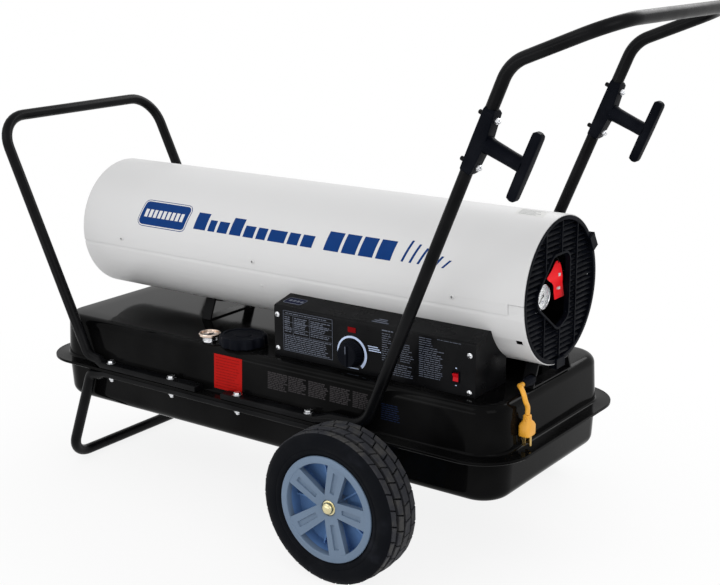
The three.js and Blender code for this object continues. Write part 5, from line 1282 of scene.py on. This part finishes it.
def cover_profile(side):
    """The cover's end seen along X: front, shoulder, lip at the barrel, and down behind."""
    r, bottom, front = BARREL_R + CLEARANCE, TANK_HIGH[2] + CLEARANCE, COVER_FACE
    lip = math.degrees(math.atan2(392 - BARREL_Z, -112))
    back = math.degrees(math.atan2(-math.sqrt(r * r - 62 * 62), -62))
    hug = arc(r, lip, back, 14, 0, BARREL_Z)
    bend = np.radians((0, 25, 50, 75))
    shoulder = [(-front + 4 - 4 * math.cos(a), COVER_SHOULDER_Z - 4 + 4 * math.sin(a)) for a in bend]
    outline = [(-62, bottom), (-front, bottom), *shoulder, *hug]
    return [(y * -side, z) for y, z in outline]


def make_cover(node, side, cutters=()):
    """A folded cover, hollow behind its face; side is -1 for the near one and 1 for the far one."""
    x0, x1 = COVER_LOW[0], COVER_HIGH[0]
    cover = node_piece(node, prism("x", cover_profile(side), x0, x1), "satin_black", bevel=1.2, sharp=25)
    bottom, front = TANK_HIGH[2] - 5, COVER_FACE - SHEET
    room = [(-67, bottom), (-front, bottom), (-front, COVER_SHOULDER_Z - 1.5), (-102, 392.5), (-67, 392)]
    hollow = prism("x", [(y * -side, z) for y, z in room], x0 + 2, x1 - 2)
    carved(cover, hollow, *cutters)


def in_face(x, z, width, height, y0=-165, y1=-150):
    """A block through the near cover's face."""
    return block((x - width / 2, y0, z - height / 2), (x + width / 2, y1, z + height / 2))


def on_face(form):
    """A form drawn about Z, its foot at the origin, stood on the near cover's face."""
    return shifted(turned(form, "x", 90), y=-COVER_FACE)


def make_covers():
    knob_hole = shifted(cylinder("y", 5, -165, -145), KNOB[0], 0, KNOB[2])
    openings = [(SWITCH, 11.6, 16.6), (DISPLAY, 14.6, 7.6)]
    make_cover("side_cover", -1, [knob_hole, *[in_face(at[0], at[2], w, h) for at, w, h in openings]])
    make_cover("far_side_cover", 1)
    head = on_face(pan_screw(4.8, 2.8))
    near = ((0.5, 366), (0.5, 306), (384.6, 361.5), (384.5, 300.4))
    far = ((0.5, 304), (0.5, 363), (384, 304), (384, 363))
    heads = [shifted(head, x=x, z=z) for x, z in near] + [shifted(turned(head, "z", 180), x=x, z=z) for x, z in far]
    crosses = [shifted(on_face(recess_shade_cross(4.8, 2.8)), x=x, z=z) for x, z in near]
    piece("cover_screws", merged(*heads), "zinc", sharp=40)
    # The dark crosses are painted shade in the screws' recesses.
    piece("cover_screw_painted_shade", merged(*crosses), "black_ink", slot="black_plastic")


make_covers()


def face_lines(rows):
    """Thin printed bars on the near cover's face, each (x0, x1, z, height)."""
    front, back = -COVER_FACE - 0.14, -COVER_FACE + 0.3
    return merged(*[block((x0, front, z), (x1, back, z + h)) for x0, x1, z, h in rows])


def text_rows(seed, left, right, top, bottom, step, height, ragged=9):
    """Bars of changing lengths, like rows of small print with no letters in them."""
    rows, state, z = [], seed, top
    while z > bottom:
        x = left
        state = (state * 37 + 11) % 101
        end = right - state % ragged
        while x < end - 2:
            state = (state * 37 + 11) % 101
            width = min(4 + state % 9, end - x)
            rows.append((x, x + width, z, height))
            x += width + 1.4
        z -= step
    return rows


def make_prints():
    """Generic printing: a ruled plate, columns of short bars, the dial's ring and small marks."""
    x0, z0, x1, z1 = 12.6, 305.0, 117.6, 375.6
    rule, height = 0.6, z1 - z0
    rows = [(x0, x1, z0, rule), (x0, x1, z1 - rule, rule), (x0, x0 + rule, z0, height), (x1 - rule, x1, z0, height)]
    rows += [(x0, x1, z, 0.4) for z in (368.5, 356, 345, 334)]
    rows += [(x, x + 0.5, 334, 34) for x in (x0 + 21, x0 + 56)]
    # Seed, left, right, top, bottom, step, height and how ragged the right edge is.
    for block_of_text in (
        (7, x0 + 5, x1 - 8, 371, 369, 3, 1.2), (5, x0 + 3, x0 + 19, 364, 336, 3.6, 1.3, 6),
        (3, x0 + 24, x0 + 54, 364, 336, 3.2, 1.3), (9, x0 + 59, x1 - 4, 364, 336, 3.2, 1.2, 20),
        (11, x0 + 3, x1 - 3, 331, 307, 3.4, 1.3, 14),
    ):
        rows += text_rows(*block_of_text)
    piece("plate_print", face_lines(rows), "grey_print")
    columns = []
    for block_of_text in (
        (2, 218, 242, 374, 372, 3, 1.8, 3), (4, 218, 236, 369, 322, 3.7, 1, 7), (6, 254, 280, 357, 325, 3.6, 1, 12),
        (8, 240, 280, 321, 301, 3.6, 1.1, 14), (12, 290, 316, 375, 363, 3.6, 1, 8),
        (10, 290, 338, 360, 310, 3.5, 1.1, 16), (14, 324, 368, 377, 374, 3, 0.7, 6),
    ):
        columns += text_rows(*block_of_text)
    piece("column_print", face_lines(columns), "grey_print")
    ring, outer, first, last = [], 30.4, -47, 203
    on_top, under = -COVER_FACE - 0.15, -COVER_FACE + 0.3
    for a in np.linspace(first, last, 55):
        c, s = math.cos(math.radians(a)), math.sin(math.radians(a))
        inner = outer - 2.6 - 2.6 * (last - a) / (last - first)
        section = ((inner, on_top), (outer, on_top), (outer, under), (inner, under))
        ring.append([(KNOB[0] + r * c, y, KNOB[2] + r * s) for r, y in section])
    piece("dial_ring", loft(ring), "white_print")
    marks = [(147, 171, 298.6, 1.5), (190, 210, 342.6, 1.3), (191, 213, 339, 1.3), (192, 216, 335.4, 1.5)]
    marks += [(SWITCH[0] - 1.4, SWITCH[0] + 1.4, z, 1.4) for z in (336, 307.5)]
    piece("small_marks", face_lines(marks), "white_print")


make_prints()


def on_shoulder(x, across, lift):
    """A point on the near cover's sloping shoulder, across measured from its front edge."""
    front, back = np.array((-COVER_FACE + 3, COVER_SHOULDER_Z + 0.3)), np.array((-112, 392))
    way = unit(back - front)
    normal = np.array((-way[1], way[0])) * (-1 if way[0] < 0 else 1)
    y, z = front + way * across + normal * lift
    return (x, y, z)


def shoulder_film(name, outline, lift, look):
    piece(name, loft([[on_shoulder(x, v, h) for x, v in outline] for h in (-0.4, lift)]), look)


def make_shoulder_marks():
    """A plain badge at the left and a few thin lines further right."""
    for name, inset, lift, look in (("edge", 0, 0.1, "grey_print"), ("field", 1.2, 0.18, "navy_film")):
        ring = rounded_corners([(0, 10), (39, 10), (44, 30), (5, 30)], 4 - inset, out=-inset)
        shoulder_film(f"shoulder_badge_{name}", ring, lift, look)
    for i in range(4):
        bar = [(9 + 8 * i, 17), (14.5 + 8 * i, 17), (15.5 + 8 * i, 23), (10 + 8 * i, 23)]
        shoulder_film(f"shoulder_badge_bar_{i + 1}", bar, 0.26, "grey_print")
    for i, (x, v) in enumerate(((192, 4), (194, 9), (200, 14))):
        line = [(x, v), (x + 32 - 8 * i, v), (x + 34 - 8 * i, v + 2), (x + 2, v + 2)]
        shoulder_film(f"shoulder_mark_{i + 1}", line, 0.12, "grey_print")


make_shoulder_marks()


# ---------------------------------------------------------------- controls


def make_controls():
    """The thermostat's knob, a fluted skirt and a grip bar with a line; the switch and the display."""
    x, z, r, face = KNOB[0], KNOB[2], KNOB_R, -COVER_FACE
    flutes = 30
    wave = 0.5 + 0.5 * np.cos(np.linspace(0, 2 * math.pi, flutes * 6, endpoint=False) * flutes)
    levels = [(r - 0.2, 0, 0.3), (r, 0, 0.9), (r, 0, 2.4), (r - 1, 0.3, 3.2), (r - 1.4, 0.8, 4.2), (r - 3.2, 0.8, 14.6)]
    levels += [(r - 4, 0.5, 16.2), (r - 5.2, 0.1, 17), (r - 6.4, 0, 17), (2, 0, 16.4)]
    skirt = loft([waved_ring((x, face - out, z), radius, depth, wave, (0, 2)) for radius, depth, out in levels])
    bar = shifted(prism("z", soft_rectangle(-2.5, 0, 2.5, 4.4, 1.2), -r + 5.5, r - 5.5), x, face - 19.5, z)
    shaft = shifted(cylinder("y", 3, face - 2, -149.3, 24), x, 0, z)
    knob = merged(skirt, bar, shaft)
    piece("knob_form", knob, "black_plastic", replaces=["thermostat_knob"], bevel=0.25, sharp=40)
    line = block((x - 0.7, face - 19.7, z + 4), (x + 0.7, face - 19.2, z + r - 6))
    piece("knob_line", line, "grey_print", "thermostat")
    refined("switch_bezel", "black_plastic", bevel=0.5)
    refined("rocker_switch", "red_plastic", bevel=0.4)
    refined("display_window", "display_red", bevel=0.4)


make_controls()


# ---------------------------------------------------------------- films on the tank, and the tag


def wall_film(name, rows, look, lift):
    """Films on the tank's near wall, which leans in by its draft, each (x0, x1, low, height)."""

    def y_at(z):
        return -TANK_HALF_WIDTH + TANK_DRAFT * (z - FLANGE_TOP) / (TANK_HIGH[2] - 13 - FLANGE_TOP)

    forms = []
    for x0, x1, low, height in rows:
        high = low + height
        corners = [(y_at(z) - lift, z) for z in (low, high)] + [(y_at(z) + 0.4, z) for z in (high, low)]
        forms.append(loft([[(x, y, z) for y, z in corners] for x in (x0, x1)]))
    piece(name, merged(*forms), look)


def make_wall_films():
    """A red label with darker lines, and blocks of dim lines beside it."""
    low = FLANGE_TOP + 0.5
    wall_film("red_film_label", [(-121.5, -57, low, 282 - low)], "red_label", 0.16)
    wall_film("red_label_lines", text_rows(16, -117, -61, 276, FLANGE_TOP + 7, 5.2, 1.2, 12), "red_ink", 0.24)
    rows = []
    for seed, left, right, bottom in (
        (18, 1, 44, 242), (20, 46, 87, 244), (22, 89, 131, 245), (24, 134, 178, 244), (26, 181, 216, 243),
    ):
        rows += text_rows(seed, left, right, 270, bottom, 3.1, 2, 10)
    wall_film("dim_lines", rows, "dim_print", 0.1)
    wall_film("blue_lines", text_rows(28, 238, 276, 262, 236, 3.6, 1.2, 8), "blue_ink", 0.1)


make_wall_films()


def make_tag():
    """A bent red tag behind the guard's window, and the pump's relief screw under the gauge."""
    rows = [(486, 10, 13), (481, 3, 18), (475, -8, 18.6), (466, -27, 19), (460, -20, 19.4), (455, -9, 21.5)]
    rows += [(448, 0, 25), (436, 4.5, 31), (422.5, 9, 36.5)]
    rings = []
    for i, (z, left, right) in enumerate(rows):
        x = 446 - 2.5 * math.cos(i * 0.8)
        rings.append([(x - 3, left, z), (x - 2.4, left, z), (x + 0.35, right, z + 1.5), (x - 0.35, right, z + 1.5)])
    piece("red_tag", loft(rings), "red_film", sharp=60)
    prints = merged(block((445.4, 7, 463), (448.6, 13, 468)), block((443, 11, 440), (446.4, 17, 444)))
    piece("red_tag_print", prints, "white_enamel")
    wire = smooth_line([(446, 11, 484), (444, 9, 492), (432, 2, 495), (404, -2, 480)])
    piece("tag_wire", sweep(line_stations(wire), lambda i: arc(0.9, 0, 315, 7)), "satin_black", sharp=60)
    screw = [(0, 0), (4, 0), (4, 11), (3, 12), (0, 12)]
    nut = merged(turned(hex_head(7.5, 0, 6), "y", 90), lathe("x", screw, 24))
    piece("pump_relief_nut", shifted(nut, PUMP_FACE - 0.5, -10, 407), "zinc", bevel=0.3)


make_tag()


# ---------------------------------------------------------------- floor, light and view

FLOOR_HALF = 6.0
FLOOR_Z = -0.0005
LIGHT_WORLD = 0.8


def seen_directly(tree):
    """One for rays from the camera and in metal or glass, which show the plain white surround."""
    path = add_node(tree, "LightPath").outputs
    total = path["Is Camera Ray"]
    for name in ("Is Glossy Ray", "Is Transmission Ray"):
        total = add_node(tree, "Math", {0: total, 1: path[name]}, operation="MAXIMUM").outputs["Value"]
    return total


def white_paper():
    """Floor paper: it keeps a faint soft shadow near the heater and is plain white further out."""
    look = bpy.data.materials.new("floor_paper")
    look.use_nodes = True
    tree = look.node_tree
    shader = tree.nodes["Principled BSDF"]
    for name, value in (("Base Color", (0.86, 0.86, 0.86, 1)), ("Roughness", 0.9), ("Specular IOR Level", 0.0)):
        shader.inputs[name].default_value = value
    place = add_node(tree, "NewGeometry").outputs["Position"]
    distance = add_node(tree, "VectorMath", {0: place}, operation="LENGTH").outputs["Value"]
    shares = {0: seen_directly(tree), 1: mapped(tree, distance, (0.5, 1.3), (0.86, 1.0))}
    share = add_node(tree, "Math", shares, operation="MULTIPLY").outputs["Value"]
    plain = add_node(tree, "Emission").outputs["Emission"]
    mix = add_node(tree, "MixShader", {0: share, 1: shader.outputs["BSDF"], 2: plain}).outputs["Shader"]
    tree.links.new(mix, tree.nodes["Material Output"].inputs["Surface"])
    return look


def make_stage():
    """A white floor, a white surround that lights softly, and four soft lamps."""
    mesh = bpy.data.meshes.new("floor")
    corners = [(-1, -1), (1, -1), (1, 1), (-1, 1)]
    mesh.from_pydata([(x * FLOOR_HALF, y * FLOOR_HALF, FLOOR_Z) for x, y in corners], [], [(0, 1, 2, 3)])
    mesh.materials.append(white_paper())
    floor = add_object("floor", mesh)
    world = bpy.data.worlds.new("surround")
    world.use_nodes = True
    bpy.context.scene.world = world
    tree = world.node_tree
    background = tree.nodes["Background"].inputs
    background["Color"].default_value = (1, 1, 1, 1)
    tree.links.new(mapped(tree, seen_directly(tree), (0, 1), (LIGHT_WORLD, 1)), background["Strength"])
    for name, place, target, size, energy in (
        ("key", (-1.2, -2.6, 3.0), (0, 0, 0.3), (2.6, 1.6), 18),
        ("low", (-0.8, -3.2, 0.45), (0, 0, 0.45), (3.0, 0.7), 14),
        ("fill", (2.8, -1.6, 1.8), (0.1, 0, 0.3), (1.6, 1.6), 16),
        ("back", (0.4, 2.8, 2.6), (0, 0, 0.4), (3.0, 1.4), 50),
    ):
        lamp = bpy.data.lights.new(name, "AREA")
        lamp.shape = "RECTANGLE"
        lamp.size, lamp.size_y = size
        lamp.energy = energy
        obj = add_object(name, lamp)
        obj.location = place
        obj.rotation_euler = (Vector(target) - Vector(place)).to_track_quat("-Z", "Y").to_euler()


make_stage()
bpy.context.scene.view_settings.view_transform = "Standard"
